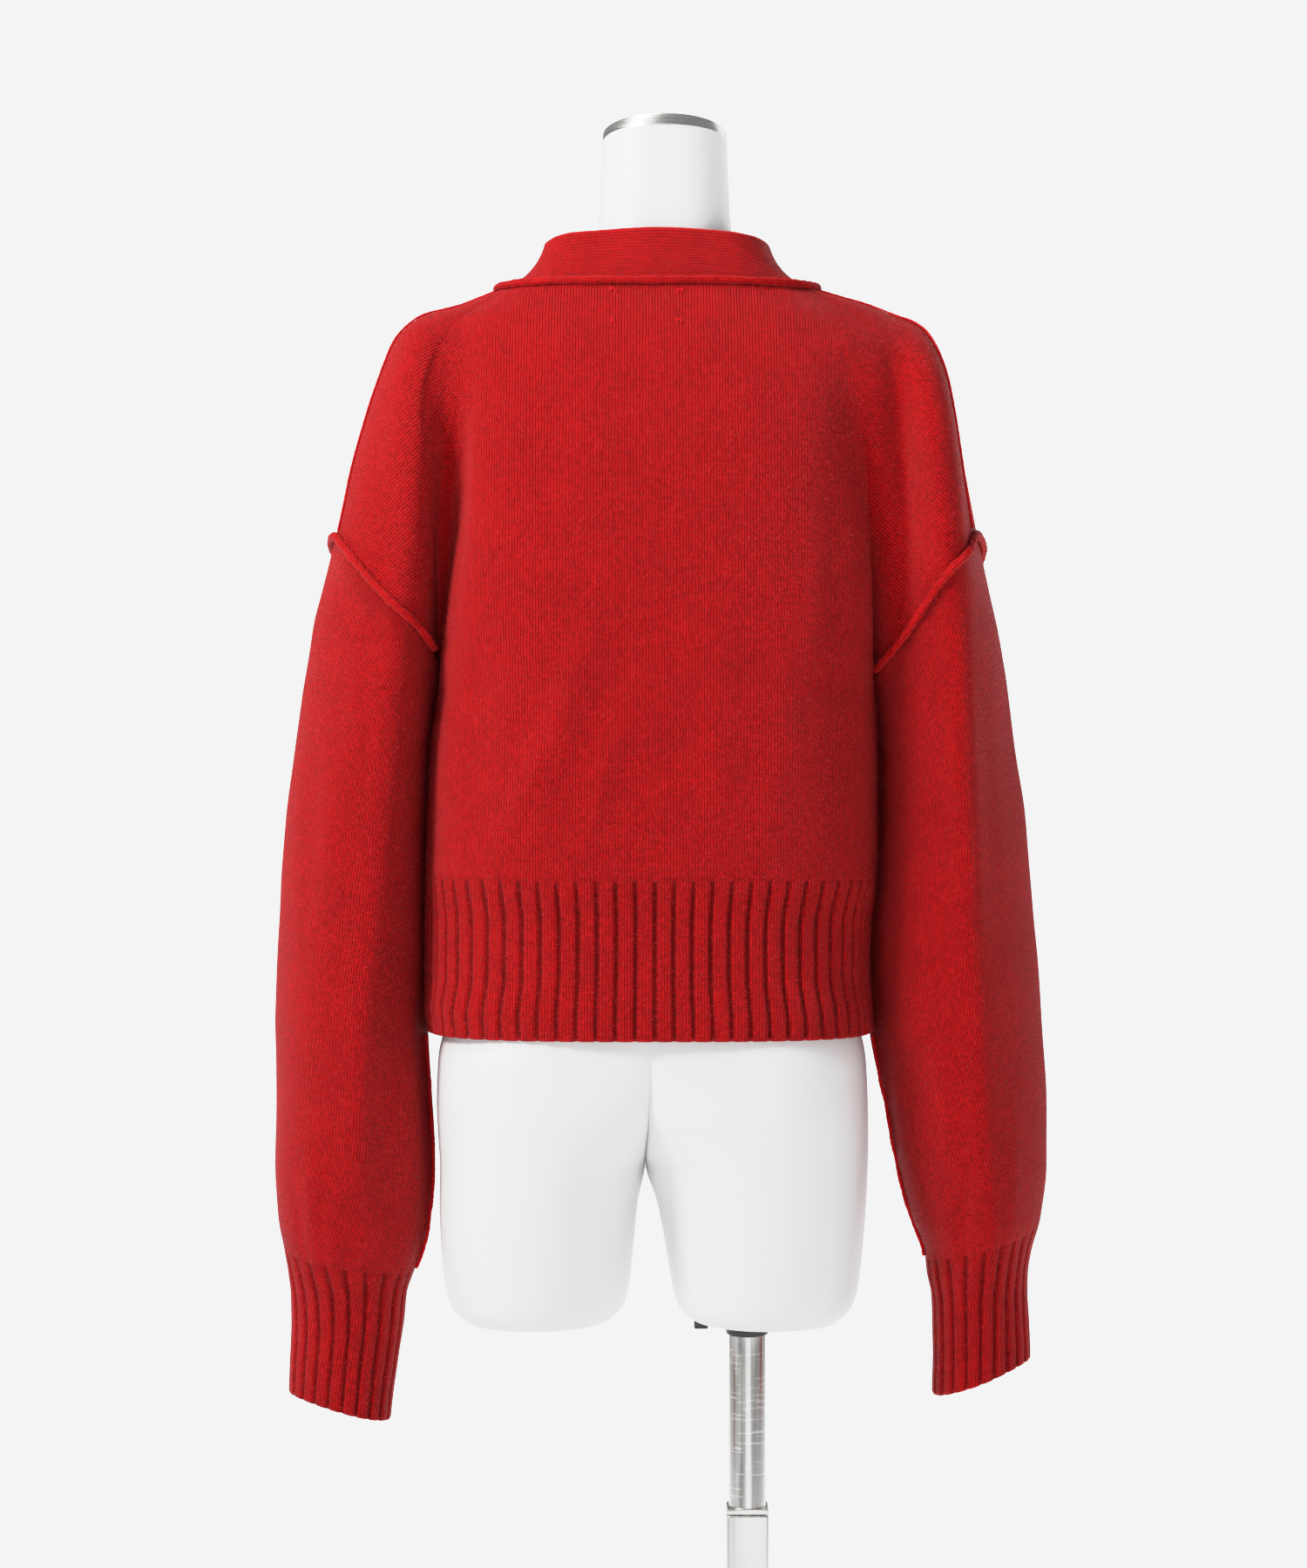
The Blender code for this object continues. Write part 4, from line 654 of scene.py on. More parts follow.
def ripple(points):
    """A slow unevenness of hand-pressed knit, in millimetres, the same on pieces that meet."""
    x, y, z = points[..., 0], points[..., 1], points[..., 2]
    slow = np.sin(x / 23 + z / 41 + 1.3) * np.sin(z / 37 - x / 55 + y / 60 + 0.4)
    quick = np.sin(x / 9.5 - z / 21 + 2.1) * np.sin(z / 12.5 + x / 31 - y / 14)
    return SLOW_RIPPLE * slow + QUICK_RIPPLE * quick


def crease_rise(points, places):
    """The hand-placed creases, the same on pieces that meet."""
    x, y, height = points[..., 0], points[..., 1], points[..., 2]
    body = (places < 1.0) | (places > 5.0)
    total = np.zeros_like(x)
    for crease in CREASES:
        along = (crease.top - height) / (crease.top - crease.foot)
        reach = np.clip(along, -CREASE_RUN_OUT, 1 + CREASE_RUN_OUT)
        line = crease.x_top + (crease.x_foot - crease.x_top) * reach
        fade = np.clip((along + CREASE_RUN_OUT) / (1 + 2 * CREASE_RUN_OUT), 0.0, 1.0)
        fade = np.sin(math.pi * fade) ** 2
        near = np.exp(-((x - line) / crease.spread) ** 2) * smooth(y * crease.face / 12.0)
        if crease.on == "arm":
            near = near * ~body
        total += crease.rise * fade * near
    return total


def slant_gap(points):
    """Slants the clear gap between body and sleeve, so that no light shows through it."""
    x, y, height = points[..., 0], points[..., 1], points[..., 2]
    near = np.exp(-((np.abs(x) - GAP_X) / GAP_SPREAD) ** 2 - (y / GAP_DEPTH) ** 2)
    points[..., 0] += np.sign(x) * GAP_SLANT * y * near * smooth((1100 - height) / 30)


def surface(side, heights, places, first=0.0, last=6.0):
    """Points of the worn cloth and their outward normals, creases and unevenness included."""
    points = side.points(heights, places)
    normals = side.normals(heights, places, first, last)
    rise = ripple(points) + crease_rise(points, places)
    points = points + normals * rise[..., None]
    slant_gap(points)
    return points, normals


def rib_lift(phase):
    """How raised a rib is across its pitch: 0 in the furrow, 1 on the crest."""
    from_furrow = 0.5 - np.abs((phase % 1.0) - 0.5)
    dome = 0.1 * np.sin(math.pi * np.clip((phase % 1.0 - 0.1) / 0.8, 0.0, 1.0))
    return 0.9 * smooth((from_furrow - 0.035) / 0.15) + dome


# ---- meshes
COLLECTION = "cardigan_on_form"
EDGE_TURNS = (0.25, 0.5, 0.75)        # points round a cut edge, as shares of its half turn
RIM_STITCH = 0.0007        # metres of stitches over each face round a cut edge
SEAM_BULGE = 0.15          # how round a cut edge is at a seam
FREE_BULGE = 0.9           # and at a free edge


def put(name, mesh, body=FIGURE, finish=None, replaces=()):
    """A finished piece at the origin that rides on its body."""
    piece = bpy.data.objects.new(name, mesh)
    bpy.data.collections[COLLECTION].objects.link(piece)
    if finish:
        mesh.materials.clear()
        mesh.materials.append(bpy.data.materials[finish])
    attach(piece, body)
    if replaces:
        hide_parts(*replaces)
    return piece


def mesh_of(shape, name, sharp=None):
    """A bmesh as a mesh, smooth but for its edges sharper than an angle in degrees."""
    mesh = bpy.data.meshes.new(name)
    shape.to_mesh(mesh)
    shape.free()
    if sharp:
        soften(mesh, sharp)
    return mesh


def soften(mesh, sharp):
    mesh.shade_smooth()
    mesh.set_sharp_from_angle(angle=math.radians(sharp))


def set_attribute(mesh, name, values, kind="FLOAT", key="value"):
    """Keeps a value for each point of a mesh."""
    attribute = mesh.attributes.new(name, kind, "POINT")
    attribute.data.foreach_set(key, np.asarray(values, dtype=np.float32).reshape(-1))


def face_outwards(mesh):
    """Turns every face of a closed mesh outwards."""
    shape = bmesh.new()
    shape.from_mesh(mesh)
    bmesh.ops.recalc_face_normals(shape, faces=shape.faces)
    shape.to_mesh(mesh)
    shape.free()


def join_rings(shape, rings, closed=True):
    """Faces between rings of vertices that follow each other."""
    for first, second in zip(rings, rings[1:]):
        count = len(first)
        for k in range(count if closed else count - 1):
            after = (k + 1) % count
            shape.faces.new((first[k], first[after], second[after], second[k]))


def drilled(mesh, drill, sharp):
    """A mesh with the drill's shape cut out of it."""
    things = [bpy.data.objects.new(each.name, each) for each in (mesh, drill)]
    for thing in things:
        bpy.context.scene.collection.objects.link(thing)
    things[0].modifiers.new("holes", "BOOLEAN").object = things[1]
    ready = things[0].evaluated_get(bpy.context.evaluated_depsgraph_get())
    result = bpy.data.meshes.new_from_object(ready)
    for thing in things:
        bpy.data.objects.remove(thing)
    soften(result, sharp)
    return result


class Cloth:
    """A knitted piece gathered from grids of points, then given its wall."""

    def __init__(self):
        self.grids, self.quads = [], []
        self.count = 0

    def grid(self, points, normals, uv, depth, mark=0.0):
        """Adds a grid: uv in metres along the stitches, depth of the wall, mark in rib furrows."""
        rows, columns = points.shape[:2]
        number = self.count + np.arange(rows * columns).reshape(rows, columns)
        ring = [number[:-1, :-1], number[:-1, 1:], number[1:, 1:], number[1:, :-1]]
        turned = np.cross(np.diff(points, axis=1)[:-1], np.diff(points, axis=0)[:, :-1])
        if float((turned * normals[:-1, :-1]).sum()) < 0:
            ring.reverse()
        self.quads.append(np.stack(ring, axis=-1).reshape(-1, 4))
        plain = [np.broadcast_to(each, (rows, columns)) for each in (depth, mark)]
        self.grids.append(np.dstack((points, normals, uv, *plain)).reshape(rows * columns, -1))
        self.count += rows * columns

    def wall(self, name, bulge):
        """The mesh of the piece: outside, inside and rounded cut edges."""
        gathered = np.vstack(self.grids)
        keys = np.round(gathered[:, :3] * 200).astype(np.int64)
        _, first, merged = np.unique(keys, axis=0, return_index=True, return_inverse=True)
        merged = merged.reshape(-1)
        quads = np.vstack(self.quads)
        outer, normal, uv, depth, mark = np.split(gathered[first], (3, 6, 8, 9), axis=1)
        faces, face_uvs = self._faces(merged[quads], gathered[quads, 6:8])
        count = len(outer)
        inner = outer - normal * depth
        faces_in = [tuple(number + count for number in reversed(face)) for face in faces]
        uvs_in = [corner_uvs[::-1] for corner_uvs in face_uvs]
        rims, rim_points, rim_uvs = self._rims(faces, outer, normal, depth, uv, bulge)
        verts = np.vstack((outer, inner, *rim_points)) * MM
        mesh = bpy.data.meshes.new(name)
        mesh.from_pydata(verts.tolist(), [], [*faces, *faces_in, *rims])
        layer = mesh.uv_layers.new(name="stitches")
        flat = np.concatenate([each.reshape(-1) for each in (*face_uvs, *uvs_in, *rim_uvs)])
        layer.data.foreach_set("uv", flat.astype(np.float32))
        furrow, outside = np.zeros(len(verts)), np.zeros(len(verts))
        furrow[:count], outside[:count] = mark[:, 0], 1.0
        set_attribute(mesh, "furrow", furrow)
        set_attribute(mesh, "outside", outside)
        mesh.shade_smooth()
        mesh.update()
        return mesh

    @staticmethod
    def _faces(corners, uvs):
        """Faces without repeated corners, and the stitch coordinates of their corners."""
        whole = np.ones(len(corners), dtype=bool)
        for k in range(4):
            whole &= corners[:, k] != corners[:, k - 1]
        faces = [tuple(face) for face in corners[whole].tolist()]
        face_uvs = list(uvs[whole])
        for face, uv in zip(corners[~whole].tolist(), uvs[~whole]):
            kept = [k for k in range(4) if face[k] != face[k - 1]]
            if len(kept) == 3:
                faces.append(tuple(face[k] for k in kept))
                face_uvs.append(uv[kept])
        return faces, face_uvs

    @staticmethod
    def _rims(faces, outer, normal, depth, uv, bulge):
        """A rounded band of faces round every open edge."""
        edges = {(a, b) for face in faces for a, b in zip(face, face[1:] + face[:1])}
        rim = [(a, b) for a, b in edges if (b, a) not in edges]
        rim.sort()
        if not rim:
            return [], [], []
        out = {}
        for a, b in rim:
            way = np.cross(outer[b] - outer[a], normal[a] + normal[b])
            for end in (a, b):
                out[end] = out.get(end, 0) + way
        ends = np.array(sorted(out))
        ways = np.array([out[vertex] for vertex in ends])
        ways /= np.maximum(np.linalg.norm(ways, axis=1, keepdims=True), 1e-9)
        half = depth[ends] / 2
        middle = outer[ends] - normal[ends] * half
        rings = []
        for turn in EDGE_TURNS:
            swing = math.cos(math.pi * turn) * half
            out_by = half * bulge * math.sin(math.pi * turn)
            rings.append(middle + normal[ends] * swing + ways * out_by)
        total = len(outer)
        numbers = np.arange(total)[:, None] + np.zeros(len(rings) + 2, dtype=int)
        numbers[:, -1] += total
        for k in range(len(rings)):
            numbers[ends, k + 1] = 2 * total + k * len(ends) + np.arange(len(ends))
        numbers = numbers.tolist()
        rims, uvs = [], []
        for a, b in rim:
            for ring in range(len(rings) + 1):
                rims.append((numbers[b][ring], numbers[a][ring],
                             numbers[a][ring + 1], numbers[b][ring + 1]))
                shift = np.array((0.0, (ring + 0.5) * RIM_STITCH))
                uvs.append(np.array((uv[b], uv[a], uv[a] + shift, uv[b] + shift)))
        return rims, rings, uvs


def stitch_uv(points, lean=0.0, start=0.0):
    """Distances across and along the stitches in metres, turned by lean degrees."""
    across = np.cumsum(np.linalg.norm(np.diff(points, axis=1), axis=-1), axis=1)
    across = np.concatenate((np.zeros_like(points[:, :1, 0]), across), axis=1) + start
    steps = np.linalg.norm(np.diff(points, axis=0), axis=-1)
    steps = steps[:, 0] if lean else steps.mean(axis=1)
    down = np.concatenate(([0.0], np.cumsum(steps)))[:, None] * np.ones_like(across)
    angle = math.radians(lean)
    uv = np.stack((across * math.cos(angle) + down * math.sin(angle),
                   down * math.cos(angle) - across * math.sin(angle)), axis=-1)
    return uv * MM


def steps_over(length):
    """How many mesh steps fit a length in millimetres."""
    return max(int(round(length / (look().mesh_step / MM))), 2)


def knitted(node, cloth, bulge=SEAM_BULGE, finish="stockinette"):
    """Puts a knitted piece in its node's place and declares it as cloth of its flat size."""
    piece = put(f"{node}_knit", cloth.wall(node, bulge), finish=finish, replaces=(node,))


def ribbed(node, cloth):
    knitted(node, cloth, FREE_BULGE, "ribbing")


# ---- panels
DRAPE_LEAN = 52.0          # turn of the wales on the dropped shoulder, outside the fold
STRIP_LEAN = 84.0          # and on the front's strip beside the shoulder seam
PANEL_SPAN = 232.0         # centre to fold, along the cloth
OUTER_SPANS = {"back": 100.0, "front": 175.0}      # fold to shoulder and armhole
ECHO_FADE = 6.0            # ribs run out over this height in the knit above them


def panel_levels(top, bottom):
    """Rows of a panel from top to bottom, with one at each side's fold and shoulder point."""
    marks = [top, SHOULDER_POINT, LEFT.valley_top, RIGHT.valley_top, bottom]
    levels = [top]
    for high, low in zip(marks, marks[1:]):
        levels += list(np.linspace(high, low, steps_over(high - low) + 1)[1:])
    return np.array(levels)


def rib_echo(above, phase, share):
    """The ribs' furrows running out in the knit just above them."""
    return -RIB_RELIEF * share * (1 - rib_lift(phase)) * np.exp(-above / ECHO_FADE)


def add_panel(cloth, side, face):
    """One half of the back, or one front: centre to fold, then fold to shoulder and armhole."""
    back = face == "back"
    rows = panel_levels(NECK_LINE, HEM_TOP + SEAM_GAP / 2)
    fold = FOLD_EDGE - SIDE_INSET if back else FRONT_FOLD_EDGE + SIDE_INSET
    own_arc = (0.0, FOLD_EDGE) if back else (FRONT_FOLD_EDGE, 6.0)
    edge = back_edge if back else front_edge
    first = np.array([0.0 if back else band_place(side, row) - BAND_INSET / 2 for row in rows])
    share = np.linspace(0.0, 1.0, steps_over(PANEL_SPAN) + 1)
    places = first[:, None] + (fold - first)[:, None] * share
    heights = np.broadcast_to(rows[:, None], places.shape)
    points, normals = surface(side, heights, places)
    sharp = (rows <= side.valley_top + 4.0)[:, None, None]
    own_points, own_normals = surface(side, heights, places, *own_arc)
    points, normals = np.where(sharp, own_points, points), np.where(sharp, own_normals, normals)
    if back:
        phase = (1 - side.sign * places) / 2 * BACK_RIBS
    else:
        end = band_place(side, HEM_TOP)
        phase = (places - FRONT_FOLD_EDGE) / (end - FRONT_FOLD_EDGE) * FRONT_RIBS
    uv = stitch_uv(points)
    above = np.clip(heights - HEM_TOP, 0.0, None)
    points = points + normals * rib_echo(above, phase, 0.55)[..., None]
    wall = look().wall / MM
    cloth.grid(points, normals, uv * (side.sign, 1), wall)

    upper = rows >= side.valley_top - 1e-6
    high = rows[upper]
    inset = (-1 if back else 1) * EDGE_INSET
    ends = np.array([edge(side, row) + inset * (row >= SHOULDER_POINT) for row in high])
    steps = np.linspace(0.0, 1.0, steps_over(OUTER_SPANS[face]) + 1)
    out_places = fold + (ends - fold)[:, None] * steps
    out_heights = np.broadcast_to(high[:, None], out_places.shape)
    out_points, out_normals = surface(side, out_heights, out_places)
    out_points[:, 0], out_normals[:, 0] = points[upper, -1], normals[upper, -1]
    out_points[-1], out_normals[-1] = out_points[-1, 0], out_normals[-1, 0]
    lean = -DRAPE_LEAN if back else -STRIP_LEAN
    cloth.grid(out_points, out_normals, stitch_uv(out_points, lean) * (side.sign, 1), wall)


def build_panels():
    cloth = Cloth()
    for side in SIDES:
        add_panel(cloth, side, "back")
    knitted("back", cloth)
    for side in SIDES:
        cloth = Cloth()
        add_panel(cloth, side, "front")
        knitted(f"front_{side.name}", cloth)


# ---- sleeves
ARMHOLE_DROP = 1.4         # the sleeve starts this far below the panels
CUFF_TOPS = {"left": (681.0, 695.0), "right": (690.0, 711.0)}      # at the inner and outer side
CUFF_FEET = {"left": (580.0, 599.0), "right": (597.5, 622.0)}
SLEEVE_COLUMNS = 104
SLEEVE_SPAN = 430.0
CUFF_SPAN = 92.0


def slanted(ends, places):
    """Heights of a ring that is lower at the sleeve's inner side than at its outer side."""
    inner, outer = ends
    turn = (places - 1.0) / 4.0
    return inner + (outer - inner) * (1 - np.cos(2 * math.pi * turn)) / 2


def armhole_loop(side, count):
    """The armhole's heights and places, from the underarm over the back and round to it again."""
    drops = np.linspace(1.0, 0.0, 60)
    span = SHOULDER_POINT - side.valley_top
    back = [(SHOULDER_POINT - span * drop, drop) for drop in drops]
    front = [(SHOULDER_POINT - span * drop, drop) for drop in np.linspace(0.0, 1.0, 90)[1:] ** 1.6]
    heights = [UNDERARM] + [height for height, _ in back + front] + [UNDERARM]
    places = [1.0] + [back_edge(side, height) if drop < 1 else 1.0 for height, drop in back]
    places += [front_edge(side, height) if drop < 1 else FRONT_SLEEVE_EDGE
               for height, drop in front] + [FRONT_SLEEVE_EDGE]
    heights, places = np.array(heights), np.array(places)
    run = run_of(side.points(heights, places))
    wanted = np.linspace(0.0, run[-1], count)
    return np.interp(wanted, run, heights), np.interp(wanted, run, places)


def build_sleeve(side):
    """A sleeve: a tube from the slanted armhole to the slanted top of its cuff."""
    top_heights, top_places = armhole_loop(side, SLEEVE_COLUMNS + 1)
    foot_places = np.linspace(1.0, FRONT_SLEEVE_EDGE, SLEEVE_COLUMNS + 1)
    foot_heights = slanted(CUFF_TOPS[side.name], foot_places) + SEAM_GAP / 2
    shares = np.linspace(0.0, 1.0, steps_over(SLEEVE_SPAN) + 1)[:, None]
    spread = smooth(shares / 0.3)
    heights = (top_heights - ARMHOLE_DROP) + (foot_heights - top_heights + ARMHOLE_DROP) * shares
    places = top_places + (foot_places - top_places) * spread
    points, normals = surface(side, heights, places, 1.0, FRONT_SLEEVE_EDGE)
    points[1:, -1], normals[1:, -1] = points[1:, 0], normals[1:, 0]
    normals[:, 0] = normals[:, -1] = (-side.sign, 0, 0)
    phase = (places - 1.0) / 4.0 * CUFF_RIBS
    points = points + normals * rib_echo(heights - foot_heights, phase, 0.5)[..., None]
    cloth = Cloth()
    cloth.grid(points, normals, stitch_uv(points), look().wall / MM)
    knitted(f"sleeve_{side.name}", cloth)


# ---- ribs
RIB_COLUMNS = 11           # points across one rib
RIB_FADE = 9.0             # a rib grows to its full height over this length
HEM_EDGE_FADE = 3.0


def add_ribs(cloth, side, heights, places, phase, first, last, closed=False):
    """Upright ribs over a plain inside."""
    points, normals = surface(side, heights, places, first, last)
    if closed:
        points[:, -1] = points[:, 0]
        normals[:, 0] = normals[:, -1] = (-side.sign, 0, 0)
    from_top = heights[:1] - heights
    from_foot = heights - heights[-1:]
    grown = 0.45 + 0.55 * smooth(from_top / RIB_FADE)
    grown = grown * (0.5 + 0.5 * smooth(from_foot / HEM_EDGE_FADE))
    lift = rib_lift(phase)
    sink = RIB_RELIEF * (1 - lift) * grown
    depth = RIB_RELIEF + RIB_WALL - sink
    cloth.grid(points - normals * sink[..., None], normals,
               stitch_uv(points) * (side.sign, 1), depth, 1 - lift)


def build_cuff(side):
    phase = np.linspace(0.0, CUFF_RIBS, CUFF_RIBS * (RIB_COLUMNS - 2) + 1)
    places = 1.0 + (FRONT_SLEEVE_EDGE - 1.0) * phase / CUFF_RIBS
    top = slanted(CUFF_TOPS[side.name], places) - SEAM_GAP / 2
    foot = slanted(CUFF_FEET[side.name], places)
    shares = np.linspace(0.0, 1.0, steps_over(CUFF_SPAN) + 1)[:, None]
    heights = top + (foot - top) * shares
    places = np.broadcast_to(places, heights.shape)
    cloth = Cloth()
    add_ribs(cloth, side, heights, places, phase, 1.0, FRONT_SLEEVE_EDGE, closed=True)
    ribbed(f"cuff_{side.name}", cloth)


def build_hems():
    """The three hem ribs: back, and one under each front."""
    top = HEM_TOP - SEAM_GAP / 2
    levels = np.linspace(top, HEM_BOTTOM, steps_over(top - HEM_BOTTOM) + 1)
    cloth = Cloth()
    for side in SIDES:
        half = BACK_RIBS // 2
        phase = np.linspace(0.0, half, half * RIB_COLUMNS + 1)
        places = np.minimum(phase / half, FOLD_EDGE - SIDE_INSET)
        heights, places = np.meshgrid(levels, places, indexing="ij")
        add_ribs(cloth, side, heights, places, phase, 0.0, FOLD_EDGE)
    ribbed("back_rib", cloth)
    for side in SIDES:
        phase = np.linspace(0.0, FRONT_RIBS, FRONT_RIBS * RIB_COLUMNS + 1)
        start = FRONT_FOLD_EDGE + SIDE_INSET
        ends = np.array([band_place(side, level) - BAND_INSET / 2 for level in levels])
        places = start + (ends - start)[:, None] * phase / FRONT_RIBS
        heights = np.broadcast_to(levels[:, None], places.shape)
        cloth = Cloth()
        add_ribs(cloth, side, heights, places, phase, FRONT_FOLD_EDGE, 6.0)
        ribbed(f"front_{side.name}_rib", cloth)


# ---- band
BAND_BACK_STEPS = 7
BAND_SIDE_STEPS = 4
BAND_ACROSS = 13
V_HEIGHTS = (1357.5, 1351.0, 1342.0, 1330.0, 1314.0, 1293.0, 1268.0, 1241.0, V_POINT)
BAND_HEIGHTS = (1196.0, 1156.0, 1116.0, 1076.0, 1036.0, 996.0, 956.0, 916.0, 876.0, HEM_BOTTOM)


def on_surface(side, height, place, lift):
    """A point this far out from the surface."""
    points, normals = surface(side, np.array([height]), np.array([place]))
    return points[0] + normals[0] * lift


def neck_path(side):
    """Heights and places of the band's seam from the centre back to the hem, and what part each
    point belongs to: the neck, the V, or the straight front."""
    seam = seam_place(side, NECK_LINE)
    corner = band_place(side, NECK_LINE) + BAND_INSET
    level = list(np.linspace(0.0, seam, BAND_BACK_STEPS))
    level += list(np.linspace(seam, corner, BAND_SIDE_STEPS)[1:])
    path = [(NECK_LINE, place, "neck") for place in level]
    path += [(height, band_place(side, height), "v") for height in V_HEIGHTS]
    path += [(height, band_place(side, height), "front") for height in BAND_HEIGHTS]
    return path


def band_rows(side):
    """Three points across the band for each step of its seam: seam, middle and free edge."""
    path = neck_path(side)
    seam = []
    for height, place, part in path:
        lift = SEAM_GAP if part == "neck" else 0.0
        inset = 0.0 if part == "neck" else BAND_INSET
        seam.append(on_surface(side, height + lift, place + inset, 0.0))
    seam = np.array(seam)
    steps = run_of(seam)
    v_end = max(k for k, step in enumerate(path) if step[2] == "v")
    stations = np.minimum(steps / steps[v_end], 1.0)
    rows = []
    other = RIGHT if side is LEFT else LEFT
    for (height, place, part), point, station in zip(path, seam, stations):
        shape = BAND.at(station)
        if part == "front":
            free_x = BAND_EDGE - 0.4 - BAND.at(1.0).inward
            free = on_surface(other, height, other.place_of_x(height, -free_x, 5.0, 6.0), 0.0)
        else:
            aim = np.array((0.0, min(point[1], -10.0)))
            way = aim - point[:2]
            way = way / max(np.linalg.norm(way), 1e-6)
            free = point + np.array((*(way * shape.inward), shape.rise))
            free = free + np.array((0.0, shape.back, 0.0))
        lap = np.clip((station - 0.72) / 0.2, 0.0, 1.0) * LAP
        outwards = -1.0 if side is RIGHT else 1.0
        free = free + np.array((0.0, outwards * lap, 0.0))
        middle = (point + free) / 2
        if part != "front":
            middle = middle + np.array((*(way * 0.8), -0.6)) * shape.hollow
        rows.append((point, middle, free))
    return np.array(rows)


def flowing(points, step):
    """A smooth curve through points (of any shape past the first axis), sampled every step."""
    flat = points.reshape(len(points), -1)
    run = run_of(flat)
    slopes = np.gradient(flat, run, axis=0)
    count = max(int(run[-1] / step), 2)
    wanted = np.linspace(0.0, run[-1], count + 1)
    cell = np.clip(np.searchsorted(run, wanted, side="right") - 1, 0, len(run) - 2)
    span = (run[cell + 1] - run[cell])[:, None]
    t = (wanted - run[cell])[:, None] / span
    return cubic(flat, slopes, cell, span, t).reshape(-1, *points.shape[1:])


def band_surface():
    """The band's points and normals: along it from hem to hem, and across from seam to edge."""
    left, right = band_rows(LEFT), band_rows(RIGHT)
    rows = np.concatenate((left[::-1], right[1:]))
    # the three rows are read separately, so that each flows smoothly
    fine = flowing(rows, look().mesh_step / MM * 1.7)
    t = np.linspace(0.0, 1.0, BAND_ACROSS)[None, :, None]
    seam, middle, free = fine[:, 0:1], fine[:, 1:2], fine[:, 2:3]
    pull = 2 * middle - (seam + free) / 2
    points = seam * (1 - t) ** 2 + pull * 2 * t * (1 - t) + free * t ** 2
    along = np.gradient(points, axis=0)
    across = np.gradient(points, axis=1)
    normals = np.cross(along, across)
    normals /= np.linalg.norm(normals, axis=-1, keepdims=True)
    outwards = points * (0.3, 1.0, 0.0)
    flip = np.where((normals * outwards).sum(axis=-1, keepdims=True) < 0, -1.0, 1.0)
    return points, normals * flip


def build_band():
    """The band: up the left front, round the neck and down the right front, one strip."""
    points, normals = band_surface()
    cloth = Cloth()
    uv = stitch_uv(points.transpose(1, 0, 2)).transpose(1, 0, 2)[..., ::-1]
    rise = 0.35 * ripple(points * 1.7)
    cloth.grid(points + normals * rise[..., None], normals, uv, look().wall / MM)
    knitted("front_band", cloth, FREE_BULGE)


# ---- rolled seams
ROLL_AROUND = 18
ROLL_LAY = 8.5             # length of one turn of the twist in a rolled seam
ROLL_SINK = 0.6            # the roll presses this far into the knit
ROLL_STEP = 0.9
BAND_ROLL_STEP = 1.25
ARMHOLE_GROOVE = 0.16      # depth of a roll's grooves, as a share of its radius
BAND_GROOVE = 0.14


def closed_rings(rows, around):
    """Faces of numbered rings of vertices, closed on the two vertices that follow them."""
    faces = [(i * around + j, i * around + (j + 1) % around,
              (i + 1) * around + (j + 1) % around, (i + 1) * around + j)
             for i in range(rows - 1) for j in range(around)]
    top = rows * around
    last = top - around
    faces += [(top, (j + 1) % around, j) for j in range(around)]
    return faces + [(last + j, last + (j + 1) % around, top + 1) for j in range(around)]


def tube(name, path, normals, groove):
    """A rope-like roll along a path: its section turns slowly, with two shallow grooves."""
    tangent = np.gradient(path, axis=0)
    tangent /= np.linalg.norm(tangent, axis=1, keepdims=True)
    up = normals - (normals * tangent).sum(axis=1, keepdims=True) * tangent
    up /= np.maximum(np.linalg.norm(up, axis=1, keepdims=True), 1e-9)
    side_way = np.cross(tangent, up)
    run = run_of(path)
    turn = np.linspace(0.0, 2 * math.pi, ROLL_AROUND, endpoint=False)[None, :]
    twist = 2 * math.pi * run[:, None] / ROLL_LAY
    grooves = 1 - groove * (0.5 + 0.5 * np.cos(2 * turn + twist)) ** 3
    uneven = 1 + 0.05 * np.sin(run / 7.3)[:, None] + 0.04 * np.sin(run / 3.1 + 1.0)[:, None]
    from_end = (1 - np.minimum(run, run[-1] - run) / ROLL_RADIUS).clip(0, 1)
    ends = np.sqrt(np.clip(1 - from_end ** 2, 0.02, 1))
    reach = ROLL_RADIUS * grooves * uneven * ends[:, None]
    points = path[:, None] + reach[..., None] * (
        np.cos(turn)[..., None] * up[:, None] + np.sin(turn)[..., None] * side_way[:, None])
    verts = np.vstack((points.reshape(-1, 3), path[:1], path[-1:])) * MM
    uvs = []
    for low, high in zip(run * MM, run[1:] * MM):
        for j in range(ROLL_AROUND):
            left, right = [ROLL_RADIUS * MM * 2 * math.pi * n / ROLL_AROUND for n in (j, j + 1)]
            uvs += [left, low, right, low, right, high, left, high]
    uvs += [0.0, 0.0, 0.001, 0.0, 0.0005, 0.001] * (2 * ROLL_AROUND)
    mesh = bpy.data.meshes.new(name)
    mesh.from_pydata(verts.tolist(), [], closed_rings(len(path), ROLL_AROUND))
    mesh.uv_layers.new(name="stitches").data.foreach_set("uv", np.array(uvs, dtype=np.float32))
    set_attribute(mesh, "furrow", np.zeros(len(verts)))
    set_attribute(mesh, "outside", np.ones(len(verts)))
    face_outwards(mesh)
    mesh.shade_smooth()
    return mesh


